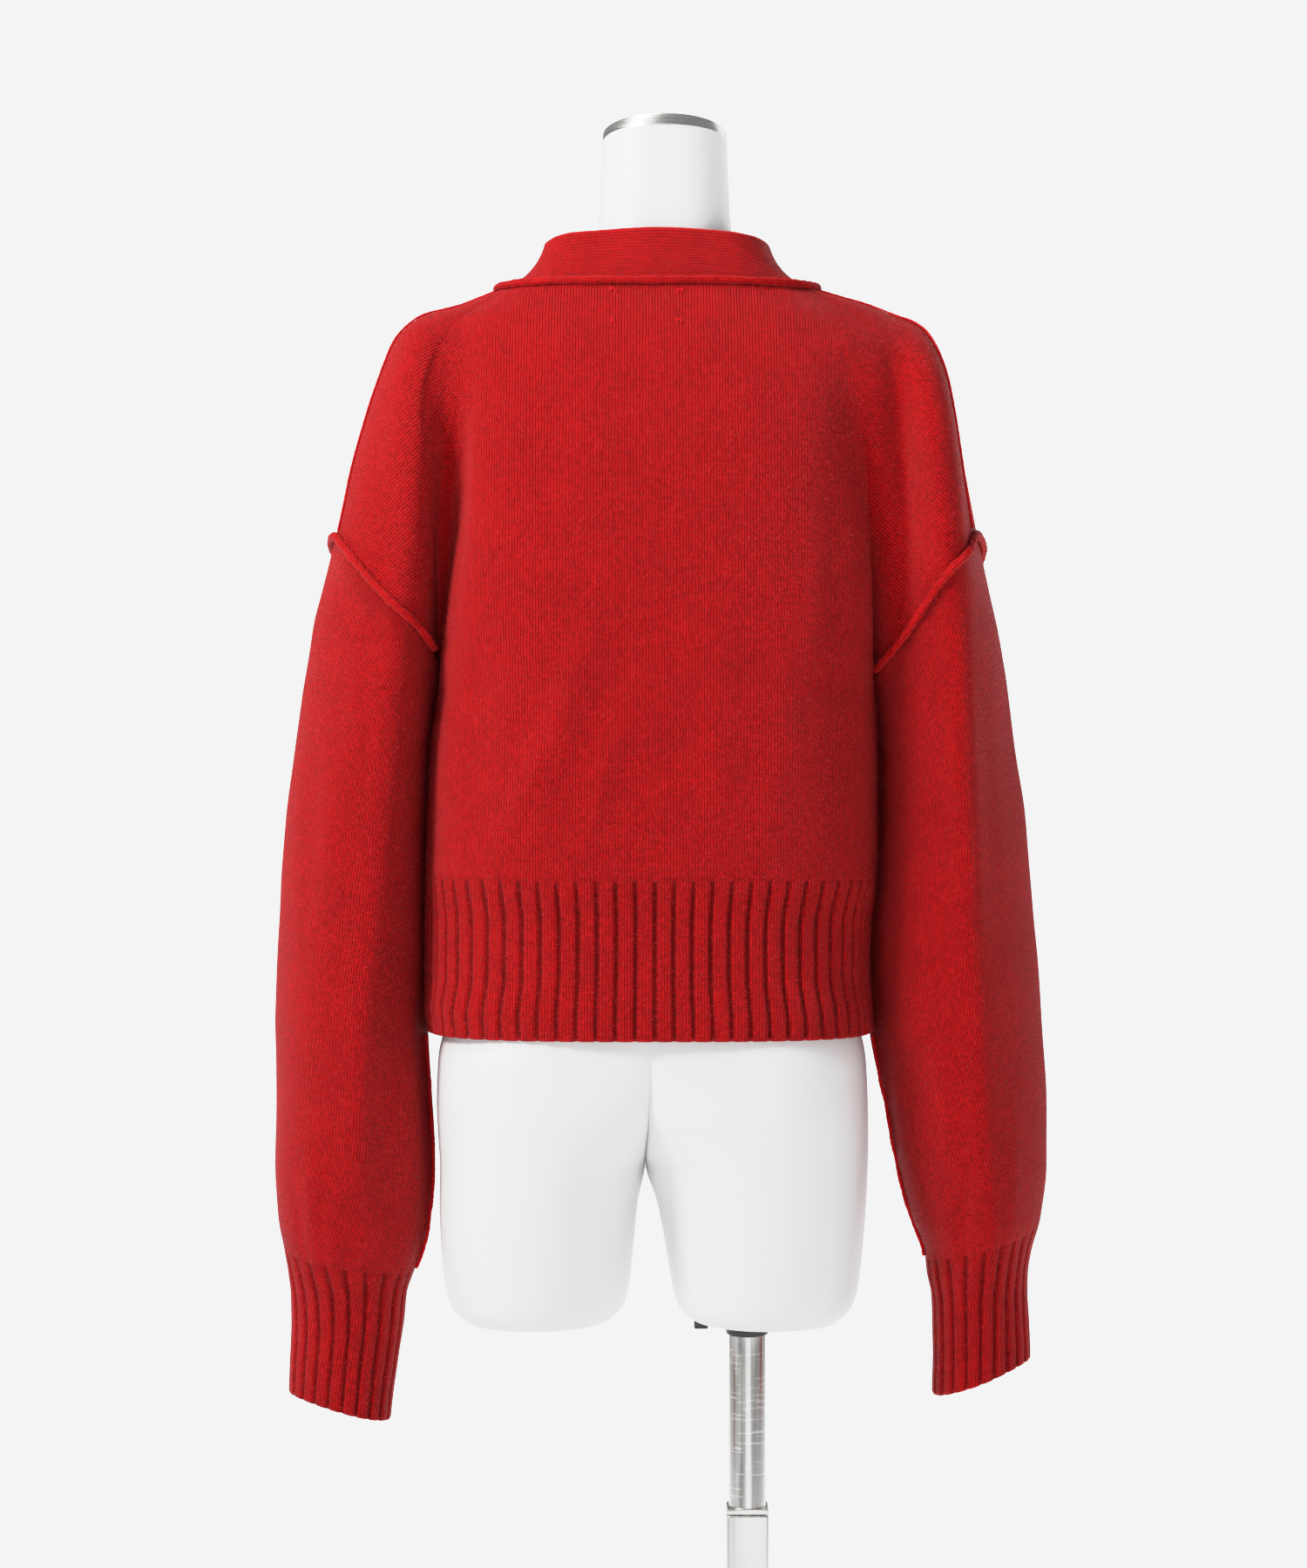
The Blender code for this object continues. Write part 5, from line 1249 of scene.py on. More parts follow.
def build_armhole_rolls():
    for side in SIDES:
        heights, places = armhole_loop(side, 420)
        back = places < 3.0
        shown = np.where(back, heights > side.valley_top + 4.0, heights > side.valley_top + 20.0)
        shown &= ~((places <= 1.0) | (places >= FRONT_SLEEVE_EDGE))
        first, last = np.argmax(shown), len(shown) - np.argmax(shown[::-1])
        heights, places = heights[first:last], places[first:last]
        path, normals = surface(side, heights, places)
        path = path + normals * (ROLL_RADIUS - ROLL_SINK)
        path = flowing(path[::6], ROLL_STEP)
        dense = flowing(normals[::6] * 40, 40 * ROLL_STEP * 0.2)
        pick = np.linspace(0, len(dense) - 1, len(path)).round().astype(int)
        name = f"armhole_seam_{side.name}"
        put(f"{name}_knit", tube(name, path, dense[pick], ARMHOLE_GROOVE),
            finish="rolled_knit", replaces=(name,))


def band_seam_path():
    """Points and normals of the roll beside the band, from hem to hem round the neck."""
    halves = []
    for side in SIDES:
        half = []
        for height, place, part in neck_path(side):
            heights, places = np.array([height]), np.array([place])
            if part == "neck":
                climb = side.points(heights, places)[0] - side.points(heights - 1.0, places)[0]
                height = height - (ROLL_RADIUS + 0.3) / np.linalg.norm(climb)
            else:
                out = abs(side.points(heights, places)[0][0]) + ROLL_RADIUS + 0.4
                place = side.place_of_x(height, out, 3.05, 6.0)
            half.append((on_surface(side, height, place, ROLL_RADIUS - ROLL_SINK),
                         side.normals([height], [place])[0]))
        halves.append(half)
    rows = halves[0][::-1] + halves[1][1:]
    return np.array([point for point, _ in rows]), np.array([normal for _, normal in rows])


def build_band_roll():
    points, normals = band_seam_path()
    joined = flowing(np.concatenate((points, normals * 20), axis=1), BAND_ROLL_STEP)
    mesh = tube("band_seam", joined[:, :3], joined[:, 3:], BAND_GROOVE)
    put("band_seam_knit", mesh, finish="rolled_knit", replaces=("band_seam",))


# ---- stitches that repeat
SIZE_VARIATION = 0.12      # how much linked stitches differ in size
FIBRE_SCALES = (0.45, 1.25)
FULL_TURN = 6.28


class Tree:
    """A small helper that adds nodes to a tree and links them."""

    def __init__(self, tree):
        self.tree = tree
        self.link = tree.links.new

    def add(self, kind, inputs=None, **settings):
        node = self.tree.nodes.new(kind)
        for key, value in settings.items():
            setattr(node, key, value)
        for key, value in (inputs or {}).items():
            socket = node.inputs[key]
            if isinstance(value, bpy.types.NodeSocket):
                self.link(value, socket)
            else:
                socket.default_value = value
        return node

    def math(self, operation, *values):
        return self.add("ShaderNodeMath", dict(enumerate(values)), operation=operation).outputs[0]

    def plus(self, first, second):
        return self.math("ADD", first, second)

    def minus(self, first, second):
        return self.math("SUBTRACT", first, second)

    def times(self, first, second):
        return self.math("MULTIPLY", first, second)

    def wave(self, turns, size, middle):
        """A cosine that repeats with each whole turn."""
        cosine = self.math("COSINE", self.times(turns, 2 * math.pi))
        return self.plus(self.times(cosine, size), middle)

    def vector(self, *values):
        return self.add("ShaderNodeCombineXYZ", dict(enumerate(values))).outputs[0]

    def place(self):
        """The object's own coordinates."""
        return self.add("ShaderNodeTexCoord").outputs["Object"]

    def stretched(self, vector, scale):
        """Coordinates scaled along each axis."""
        return self.add("ShaderNodeMapping", {"Vector": vector, "Scale": scale}).outputs[0]

    def noise(self, vector, scale, detail=2.0, roughness=0.5):
        return self.add("ShaderNodeTexNoise", {
            "Vector": vector, "Scale": scale, "Detail": detail, "Roughness": roughness}).outputs[0]

    def ranged(self, value, low, high, new_low=0.0, new_high=1.0, **settings):
        """A value taken from one range to another, and held at its ends."""
        inputs = dict(enumerate((value, low, high, new_low, new_high)))
        return self.add("ShaderNodeMapRange", inputs, **settings).outputs[0]

    def spread(self, noise, low, high):
        """Noise, whose values lie mostly between 0.3 and 0.7, taken between two values."""
        return self.ranged(noise, 0.3, 0.7, low, high)

    def blend(self, share, first, second):
        """A colour between two."""
        return self.add("ShaderNodeMix", {"Factor": share, "A": first, "B": second},
                        data_type="RGBA").outputs["Result"]

    def toned(self, colour, value):
        """A colour made lighter or darker."""
        return self.add("ShaderNodeHueSaturation", {"Color": colour, "Value": value}).outputs[0]

    def attribute(self, name, kind):
        """A named attribute, read in a Geometry Nodes tree."""
        return self.add("GeometryNodeInputNamedAttribute", {"Name": name},
                        data_type=kind).outputs[0]


def new_tree(name, floats):
    """A Geometry Nodes tree with a geometry input, named number inputs and a geometry output."""
    tree = bpy.data.node_groups.new(name, "GeometryNodeTree")
    face = tree.interface
    face.new_socket("Geometry", in_out="INPUT", socket_type="NodeSocketGeometry")
    face.new_socket("Geometry", in_out="OUTPUT", socket_type="NodeSocketGeometry")
    for label, value in floats:
        kind = "NodeSocketInt" if label == "Seed" else "NodeSocketFloat"
        face.new_socket(label, in_out="INPUT", socket_type=kind).default_value = value
    build = Tree(tree)
    return build, build.add("NodeGroupInput").outputs, build.add("NodeGroupOutput").inputs


def hand_out(build, placed, finish, out, smooth=False):
    """Makes a tree's instances real, gives them their finish and hands them out."""
    made = build.add("GeometryNodeRealizeInstances", {"Geometry": placed.outputs[0]})
    if smooth:
        made = build.add("GeometryNodeSetShadeSmooth", {"Geometry": made.outputs[0]})
    made = build.add("GeometryNodeSetMaterial", {
        "Geometry": made.outputs[0], "Material": bpy.data.materials[finish]})
    build.link(made.outputs[0], out[0])


def chain_tree():
    """One stitch set on every point of a seam, along its tangent and out from the cloth."""
    build, given, out = new_tree("linked stitches", (
        ("Stitch Length", 0.003), ("Stitch Width", 0.0015), ("Stitch Height", 0.0012),
        ("Lean", 0.35), ("Size Variation", SIZE_VARIATION), ("Seed", 3)))
    bead = build.add("GeometryNodeMeshUVSphere", {"Segments": 8, "Rings": 5, "Radius": 0.5})
    size = build.vector(given["Stitch Length"], given["Stitch Width"], given["Stitch Height"])
    sized = build.add("GeometryNodeTransform", {"Geometry": bead.outputs["Mesh"], "Scale": size})
    leant = build.add("GeometryNodeTransform", {
        "Geometry": sized.outputs[0], "Rotation": build.vector(0.0, 0.0, given["Lean"])})
    first = build.add("FunctionNodeAlignRotationToVector", {
        "Vector": build.attribute("along", "FLOAT_VECTOR")}, axis="X")
    second = build.add("FunctionNodeAlignRotationToVector", {
        "Rotation": first.outputs[0], "Vector": build.attribute("outward", "FLOAT_VECTOR")},
        axis="Z", pivot_axis="X")
    points = build.add("GeometryNodeMeshToPoints", {"Mesh": given["Geometry"]})
    low = build.minus(1.0, given["Size Variation"])
    high = build.plus(1.0, given["Size Variation"])
    vary = build.add("FunctionNodeRandomValue", {2: low, 3: high, "Seed": given["Seed"]},
                     data_type="FLOAT")
    placed = build.add("GeometryNodeInstanceOnPoints", {
        "Points": points.outputs[0], "Instance": leant.outputs[0],
        "Rotation": second.outputs[0], "Scale": vary.outputs[1]})
    hand_out(build, placed, "linked_yarn", out, smooth=True)


def fibre_tree():
    """Short loose fibres standing on the outside of a knitted piece."""
    build, given, out = new_tree("loose fibres", (
        ("Density", 40000.0), ("Fibre Length", 0.003), ("Fibre Radius", 0.00004),
        ("Spread", 1.1), ("Seed", 11)))
    density = build.times(build.attribute("outside", "FLOAT"), given["Density"])
    spots = build.add("GeometryNodeDistributePointsOnFaces", {
        "Mesh": given["Geometry"], "Density": density, "Seed": given["Seed"]})
    hair = build.add("GeometryNodeMeshCone", {
        "Vertices": 3, "Side Segments": 1, "Radius Top": 0.0,
        "Radius Bottom": given["Fibre Radius"], "Depth": given["Fibre Length"]}, fill_type="NONE")
    back = build.times(given["Spread"], -1.0)
    lean = build.add("FunctionNodeRandomValue", {
        0: build.vector(back, back), 1: build.vector(given["Spread"], given["Spread"], FULL_TURN),
        "Seed": given["Seed"]}, data_type="FLOAT_VECTOR")
    as_turn = build.add("FunctionNodeEulerToRotation", {0: lean.outputs[0]})
    turned = build.add("FunctionNodeRotateRotation", {
        "Rotation": spots.outputs["Rotation"], "Rotate By": as_turn.outputs[0]},
        rotation_space="LOCAL")
    shortest, longest = FIBRE_SCALES
    length = build.add("FunctionNodeRandomValue", {2: shortest, 3: longest, "Seed": given["Seed"]},
                       data_type="FLOAT")
    placed = build.add("GeometryNodeInstanceOnPoints", {
        "Points": spots.outputs["Points"], "Instance": hair.outputs["Mesh"],
        "Rotation": turned.outputs[0], "Scale": length.outputs[1]})
    hand_out(build, placed, "loose_fibre", out)


def grown(tree, mesh, values):
    """The mesh that a tree makes from this one."""
    carrier = bpy.data.objects.new("carrier", mesh)
    bpy.context.scene.collection.objects.link(carrier)
    modifier = carrier.modifiers.new("nodes", "NODES")
    modifier.node_group = tree
    sockets = {item.name: item.identifier for item in tree.interface.items_tree
               if item.in_out == "INPUT"}
    for label, value in values.items():
        modifier[sockets[label]] = value
    ready = carrier.evaluated_get(bpy.context.evaluated_depsgraph_get())
    result = bpy.data.meshes.new_from_object(ready)
    bpy.data.objects.remove(carrier)
    return result


def stitch_points(points, along, outward):
    """A mesh of loose points that hold which way each stitch lies."""
    mesh = bpy.data.meshes.new("stitch points")
    mesh.from_pydata((np.asarray(points) * MM).tolist(), [], [])
    set_attribute(mesh, "along", along, "FLOAT_VECTOR", "vector")
    set_attribute(mesh, "outward", outward, "FLOAT_VECTOR", "vector")
    return mesh


def set_stitches(name, points, along, outward, size, lean=0.0, vary=SIZE_VARIATION, replaces=()):
    """A piece of one stitch at each point: size is a stitch's length, width and height."""
    length, width, height = (each * MM for each in size)
    mesh = grown(bpy.data.node_groups["linked stitches"], stitch_points(points, along, outward), {
        "Stitch Length": length, "Stitch Width": width, "Stitch Height": height,
        "Lean": lean, "Size Variation": vary})
    mesh.name = name
    put(name, mesh, replaces=replaces)


def build_chain(name, path, normals, spacing, size, lean=0.35, replaces=()):
    """A seam of linked stitches along a path in millimetres."""
    joined = flowing(np.concatenate((path, normals * 20), axis=1), spacing)
    points, outward = joined[:, :3], joined[:, 3:]
    set_stitches(name, points, np.gradient(points, axis=0), outward, size, lean, replaces=replaces)


def build_linked_seams():
    """Shoulder seams, sleeve seams and the band's linked edge."""
    for side in SIDES:
        heights = np.linspace(NECK_LINE - 3.0, SHOULDER_POINT + 5.0, 40)
        places = np.array([seam_place(side, row) for row in heights])
        path, normals = surface(side, heights, places)
        path = path + normals * 0.7
        name = f"shoulder_seam_{side.name}"
        build_chain(f"{name}_knit", path, normals, 1.5, (2.6, 2.1, 1.7), replaces=(name,))
        rows = np.linspace(HEM_BOTTOM - 6.0, CUFF_TOPS[side.name][0] + 3.0, 46)
        edge = surface(side, rows, np.ones_like(rows), 1.0, FRONT_SLEEVE_EDGE)[0]
        wave = 1.1 * np.sin(rows / 6.1) + 0.7 * np.sin(rows / 3.3 + 0.8)
        path = edge + np.stack((-side.sign * (1.0 + 0.25 * wave), wave, wave * 0), axis=1)
        outward = np.repeat(np.array([(-side.sign, 0.15, 0.0)]), len(rows), axis=0)
        name = f"sleeve_seam_{side.name}"
        build_chain(f"{name}_knit", path, outward, 1.7, (3.2, 2.6, 2.6), lean=0.5, replaces=(name,))
    points, normals = band_surface()
    edge = points[:, -1] - normals[:, -1] * look().wall / MM / 2
    out = points[:, -1] - points[:, -2]
    out /= np.linalg.norm(out, axis=1, keepdims=True)
    build_chain("band_edge_stitches", edge + out * 1.0, out, 1.9, (2.3, 2.5, 1.5), lean=0.2)


# The four small tacks on the back below the neck: place across, height and lean.
TACKS = ((28.5, 1353.0, 0.3), (-16.5, 1352.0, -0.2), (28.0, 1329.5, 0.9), (-16.0, 1330.5, 0.1))


def build_tacks():
    points, along, outward = [], [], []
    for x, height, lean in TACKS:
        side = LEFT if x > 0 else RIGHT
        place = side.place_of_x(height, abs(x), 0.0, 1.0)
        for k in range(3):
            shift = np.array((math.cos(lean), 0.0, math.sin(lean))) * (k - 1) * 1.7
            shift = shift + np.array((0, 0, (k % 2) * 1.2))
            points.append(on_surface(side, height, place, 0.7) + shift)
            along.append((math.cos(lean + 0.9 * (k - 1)), 0.0, math.sin(lean + 0.9 * (k - 1))))
            outward.append(side.normals([height], [place])[0])
    set_stitches("tack_stitches", points, along, outward, (3.6, 1.4, 1.4))


FIBRE_PIECES = (*CUTS, "armhole_seam_left", "armhole_seam_right", "band_seam")
FIBRE_LENGTH = 0.0034
FIBRE_RADIUS = 0.00005


def build_fibres():
    """Loose fibres over every knitted piece, one mesh for each."""
    for seed, name in enumerate(FIBRE_PIECES, 5):
        source = bpy.data.objects[f"{name}_knit"].data.copy()
        mesh = grown(bpy.data.node_groups["loose fibres"], source, {
            "Density": look().fibres, "Fibre Length": FIBRE_LENGTH, "Fibre Radius": FIBRE_RADIUS,
            "Seed": seed})
        mesh.name = f"{name}_fibres"
        put(mesh.name, mesh)


# ---- buttons
BUTTON_PROFILE = (          # radius and height of a dished button, from its middle out and under
    (0.0, 2.3), (3.6, 2.35), (5.4, 2.7), (6.6, 3.45), (7.9, 3.95), (9.0, 3.8), (9.8, 3.1),
    (10.0, 2.2), (9.6, 1.1), (8.4, 0.3), (6.0, 0.0), (0.0, 0.0))
BUTTON_SEAT = 0.45         # a button's back stands this far off the band's surface
BUTTON_STEP = 0.55
BUTTON_AROUND = 48
HOLE_OFFSET = 1.9
HOLE_RADIUS = 0.95


def button_shape():
    """A four-hole button standing on its back, round Z."""
    curve = flowing(np.array([(r, 0.0, z) for r, z in BUTTON_PROFILE]), BUTTON_STEP)
    around = BUTTON_AROUND
    turn = np.linspace(0.0, 2 * math.pi, around, endpoint=False)
    rings = [np.column_stack((r * np.cos(turn), r * np.sin(turn), np.full(around, z)))
             for r, _, z in curve[1:-1]]
    verts = np.vstack((*rings, curve[:1], curve[-1:])) * MM
    mesh = bpy.data.meshes.new("button blank")
    mesh.from_pydata(verts.tolist(), [], closed_rings(len(rings), around))
    face_outwards(mesh)
    shape = bmesh.new()
    radius = HOLE_RADIUS * MM
    for x in (-1, 1):
        for y in (-1, 1):
            made = bmesh.ops.create_cone(shape, cap_ends=True, segments=20, depth=8 * MM,
                                         radius1=radius, radius2=radius)
            bmesh.ops.translate(shape, verts=made["verts"],
                                vec=Vector((x, y, 1.0)) * HOLE_OFFSET * MM)
    return drilled(mesh, mesh_of(shape, "drill"), 40)


def build_buttons():
    """Five buttons on the right front band, each sewn through its four holes."""
    shape = button_shape()
    points, normals = band_surface()
    centre_column = BAND_ACROSS // 2
    middle = points[:, centre_column]
    straight = np.where((middle[:, 0] < 4.0) & (middle[:, 2] < 1230))[0]
    straight = straight[straight > len(points) // 2]
    spots, along, outward = [], [], []
    for number, height in enumerate(BUTTON_HEIGHTS, 1):
        row = straight[np.argmin(np.abs(middle[straight, 2] - height))]
        normal = Vector(normals[row, centre_column])
        centre = Vector(middle[row]) + normal * BUTTON_SEAT
        turn = Vector((0, 0, 1)).rotation_difference(normal).to_matrix().to_4x4()
        mesh = shape.copy()
        mesh.name = f"button_{number}_dished"
        mesh.transform(turn)
        mesh.transform(Matrix.Translation(centre * MM))
        put(mesh.name, mesh, finish="dyed_button", replaces=(f"button_{number}",))
        frame_way = turn.to_3x3()
        for x in (-1, 1):
            offset = frame_way @ Vector((x * HOLE_OFFSET, 0.0, 2.5))
            spots.append(tuple(centre + offset))
            along.append(tuple(frame_way @ Vector((0.0, 1.0, 0.0))))
            outward.append(tuple(normal))
    set_stitches("button_threads", spots, along, outward, (5.2, 1.2, 1.1), vary=0.02)


# ---- dress form and stand
FORM_ARC = 26
FORM_STEP = 5.0
NECK_FOOT = 1408.0         # above this the neck's sections tilt
STUB_FOOT = 690.0          # below this the thigh stubs round off
STUB_STEPS = 16
STUB_CLOSING = ((0.965, 1.6), (0.9, 2.6), (0.5, 3.0))   # each last ring's share and drop


def form_half(row, sign):
    """Half of the form's section: cleft to crest to outline, back then front."""
    extent = row.left if sign > 0 else row.right
    start = sign * row.split + row.gap
    crest = start + (extent - start) * row.crest
    points = []
    for face, depth in ((1, row.back), (-1, row.front)):
        rise = quarter((start, depth * row.cleft), (crest, depth), 2.0, True)
        fall = quarter((crest, depth), (extent, 0), FORM_SQUARE, False)
        arc = np.vstack((even(rise, FORM_ARC // 2 + 1), even(fall, FORM_ARC + 2)[1:]))
        points.append(arc * (sign, face))
    return np.vstack((points[0], points[1][-2::-1]))


def build_form():
    """The limbless form: neck, shoulders, hips and two thigh stubs, whole and smooth."""
    foot = min(row[0] for row in FORM_ROWS)
    heights = list(np.arange(NECK_TOP, STUB_FOOT, -FORM_STEP))
    heights += list(np.linspace(STUB_FOOT, foot, STUB_STEPS))
    shape = bmesh.new()
    for sign in (1, -1):
        rings = []
        for height in heights:
            flat = form_half(FORM.at(height), sign)
            tip = np.clip((height - NECK_FOOT) / (NECK_TOP - NECK_FOOT), 0.0, 1.0) ** 1.5
            level = height + flat[:, 1] * math.tan(NECK_TILT) * tip
            rings.append([shape.verts.new(Vector(point) * MM)
                          for point in np.column_stack((flat, level)).tolist()])
        ends = [vert.co.copy() for vert in rings[-1]]
        middle = sum(ends, Vector()) / len(ends)
        for shrink, drop in STUB_CLOSING:
            down = Vector((0, 0, drop * MM))
            rings.append([shape.verts.new(middle + (co - middle) * shrink - down) for co in ends])
        join_rings(shape, rings, closed=False)
        shape.faces.new(rings[-1])
    bmesh.ops.remove_doubles(shape, verts=shape.verts, dist=0.00002)
    rim = [edge for edge in shape.edges
           if edge.is_boundary and edge.verts[0].co.z > NECK_FOOT * MM]
    bmesh.ops.contextual_create(shape, geom=rim)
    bmesh.ops.recalc_face_normals(shape, faces=shape.faces)
    put("dress_form_shell", mesh_of(shape, "dress_form", 55), finish="form_shell",
        replaces=("dress_form",))


HARD_EDGE = 35             # degrees: sharper edges of turned and cut steel stay crisp
NECK_CAP = (9.0, 43.0)     # depth and radius
POLE_HOLE = 13.05
STEM_RADIUS = 2.0
KNOB_AROUND = 40
FLUTES = 8
FLUTE = 0.07               # depth of a flute, as a share of the knob's radius


def lathe(name, profile, centre, finish, body, replaces, around=64, tilt=0.0):
    """A turned piece round Z: profile of (radius, height) in millimetres, from the top down."""
    shape = bmesh.new()
    turn = np.linspace(0.0, 2 * math.pi, around, endpoint=False)
    rings = [[shape.verts.new((r * math.cos(a) * MM, r * math.sin(a) * MM, z * MM)) for a in turn]
             for r, z in profile]
    join_rings(shape, rings)
    shape.faces.new(rings[0])
    shape.faces.new(rings[-1][::-1])
    bmesh.ops.recalc_face_normals(shape, faces=shape.faces)
    mesh = mesh_of(shape, name)
    mesh.transform(Matrix.Translation(Vector(centre)) @ Matrix.Rotation(tilt, 4, "X"))
    soften(mesh, HARD_EDGE)
    put(name, mesh, body, finish, replaces)


def rod(radius, height, edge, bow):
    """The profile of a disc or pole: its upper edge is rounded over a length."""
    return [(radius - edge, height), (radius - bow, height - bow), (radius, height - edge),
            (radius, 0.8), (radius - 0.8, 0.0)]


def cube_between(low, high, bevel, segments):
    """A bevelled block between two corners in metres."""
    shape = bmesh.new()
    bmesh.ops.create_cube(shape, size=1.0)
    bmesh.ops.scale(shape, vec=high - low, verts=shape.verts)
    bmesh.ops.translate(shape, vec=(low + high) / 2, verts=shape.verts)
    bmesh.ops.bevel(shape, geom=shape.edges[:], offset=bevel * MM, segments=segments,
                    affect="EDGES", profile=0.5)
    return shape


def block(node, name, bevel):
    """A bevelled steel block of the stand in its node's place."""
    mesh = mesh_of(cube_between(*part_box(node), bevel, 3), name, HARD_EDGE)
    put(name, mesh, STAND, "tube_steel", (node,))


def build_stand():
    """Neck cap, clamp, round pole, square tube and base plate, on their packed nodes."""
    low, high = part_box("neck_cap")
    neck_y = (FORM.at(NECK_TOP).back - FORM.at(NECK_TOP).front) / 2 * MM
    seat = NECK_TOP * MM + neck_y * math.tan(NECK_TILT)
    depth, radius = NECK_CAP
    rise = 0.3 * MM
    lathe("neck_cap_disc", rod(radius, depth, 1.2, 0.35),
          ((low.x + high.x) / 2, neck_y - rise * math.sin(NECK_TILT), seat + rise),
          "neck_steel", FIGURE, ("neck_cap",), tilt=NECK_TILT)

    low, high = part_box("pole")
    centre = ((low.x + high.x) / 2, (low.y + high.y) / 2)
    radius, length = (high.x - low.x) / 2 / MM, (high.z - low.z) / MM
    lathe("pole_round", rod(radius, length, 0.8, 0.25),
          (*centre, low.z), "pole_steel", MAST, ("pole",))

    low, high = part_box("clamp_collar")
    radius, length = (high.x - low.x) / 2 / MM, (high.z - low.z) / MM
    lathe("clamp_collar_ring", [(radius - 0.5, length), (radius, length - 0.5), (radius, 3.2),
                                (radius - 0.7, 2.6), (radius - 0.7, 0.8), (radius - 1.4, 0.0)],
          (*centre, low.z), "moulded_black", FIGURE, ("clamp_collar",))
    build_knob(*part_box("clamp_knob"))
    build_tube_cap(*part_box("tube_cap"), centre)
    block("stand_tube", "stand_tube_square", 1.6)
    block("base_plate", "base_plate_steel", 1.1)


def build_knob(low, high):
    """The clamp's knob: a fluted head on its stem, along X."""
    middle = (low + high) / 2
    head, end = (high.z - low.z) / 2 / MM, high.x / MM
    profile = [(STEM_RADIUS, low.x / MM), (STEM_RADIUS, end - 10.0), (head - 0.5, end - 9.6),
               (head, end - 9.0), (head, end - 0.8), (head - 0.8, end)]
    turn = np.linspace(0.0, 2 * math.pi, KNOB_AROUND, endpoint=False)
    shape = bmesh.new()
    rings = []
    for radius, x in profile:
        flutes = 1 - FLUTE * (0.5 + 0.5 * np.cos(turn * FLUTES)) * (radius > STEM_RADIUS)
        rings.append([shape.verts.new((x * MM, middle.y + radius * flute * math.cos(angle) * MM,
                                       middle.z + radius * flute * math.sin(angle) * MM))
                      for angle, flute in zip(turn, flutes)])
    join_rings(shape, rings)
    shape.faces.new(rings[0])
    shape.faces.new(rings[-1])
    bmesh.ops.recalc_face_normals(shape, faces=shape.faces)
    put("clamp_knob_fluted", mesh_of(shape, "clamp_knob_fluted", 40), FIGURE,
        "moulded_black", ("clamp_knob",))


def build_tube_cap(low, high, centre):
    """The square end cap that the pole slides through."""
    blank = mesh_of(cube_between(low, high, 0.9, 2), "tube cap blank")
    shape = bmesh.new()
    radius = POLE_HOLE * MM
    bmesh.ops.create_cone(shape, cap_ends=True, segments=64, depth=0.02,
                          radius1=radius, radius2=radius)
    bmesh.ops.translate(shape, vec=(*centre, (low.z + high.z) / 2), verts=shape.verts)
    mesh = drilled(blank, mesh_of(shape, "tube cap drill"), HARD_EDGE)
    mesh.name = "tube_cap_square"
    put("tube_cap_square", mesh, STAND, "tube_steel", ("tube_cap",))


# ---- finishes
def new_finish(name, **settings):
    """A Principled material with its plain values set on the shader's own sockets."""
    material = bpy.data.materials.new(name)
    if material.name != name:
        raise ValueError(f"a finish named {name} is already there")
    material.use_nodes = True
    shader = material.node_tree.nodes["Principled BSDF"]
    for key, value in settings.items():
        label = key.replace("_", " ").title().replace("Ior", "IOR")
        shader.inputs[label].default_value = value
    return Tree(material.node_tree), shader


def dress(nodes, shader, colour, roughness=None, bump=None):
    """Links a finish's colour, roughness and bump (height, strength and depth) to its shader."""
    nodes.link(colour, shader.inputs["Base Color"])
    if roughness:
        nodes.link(roughness, shader.inputs["Roughness"])
    if bump:
        made = nodes.add("ShaderNodeBump", dict(zip(("Height", "Strength", "Distance"), bump)))
        nodes.link(made.outputs[0], shader.inputs["Normal"])


STITCH_SWAY = 0.0011       # metres that a stitch wanders from its row and column
STITCH_DEPTH = 0.0011
STRAND_SLANT = 0.85        # courses that a strand falls from its wale's middle to its edge
FUZZ = 0.40                # the relief of loose wool beside that of the stitches
STITCH_LUCK = 0.34         # how much single stitches differ in tone
# share by which the rib furrows are darkened: painted shade between the ribs
FURROW_SHADE = 0.45


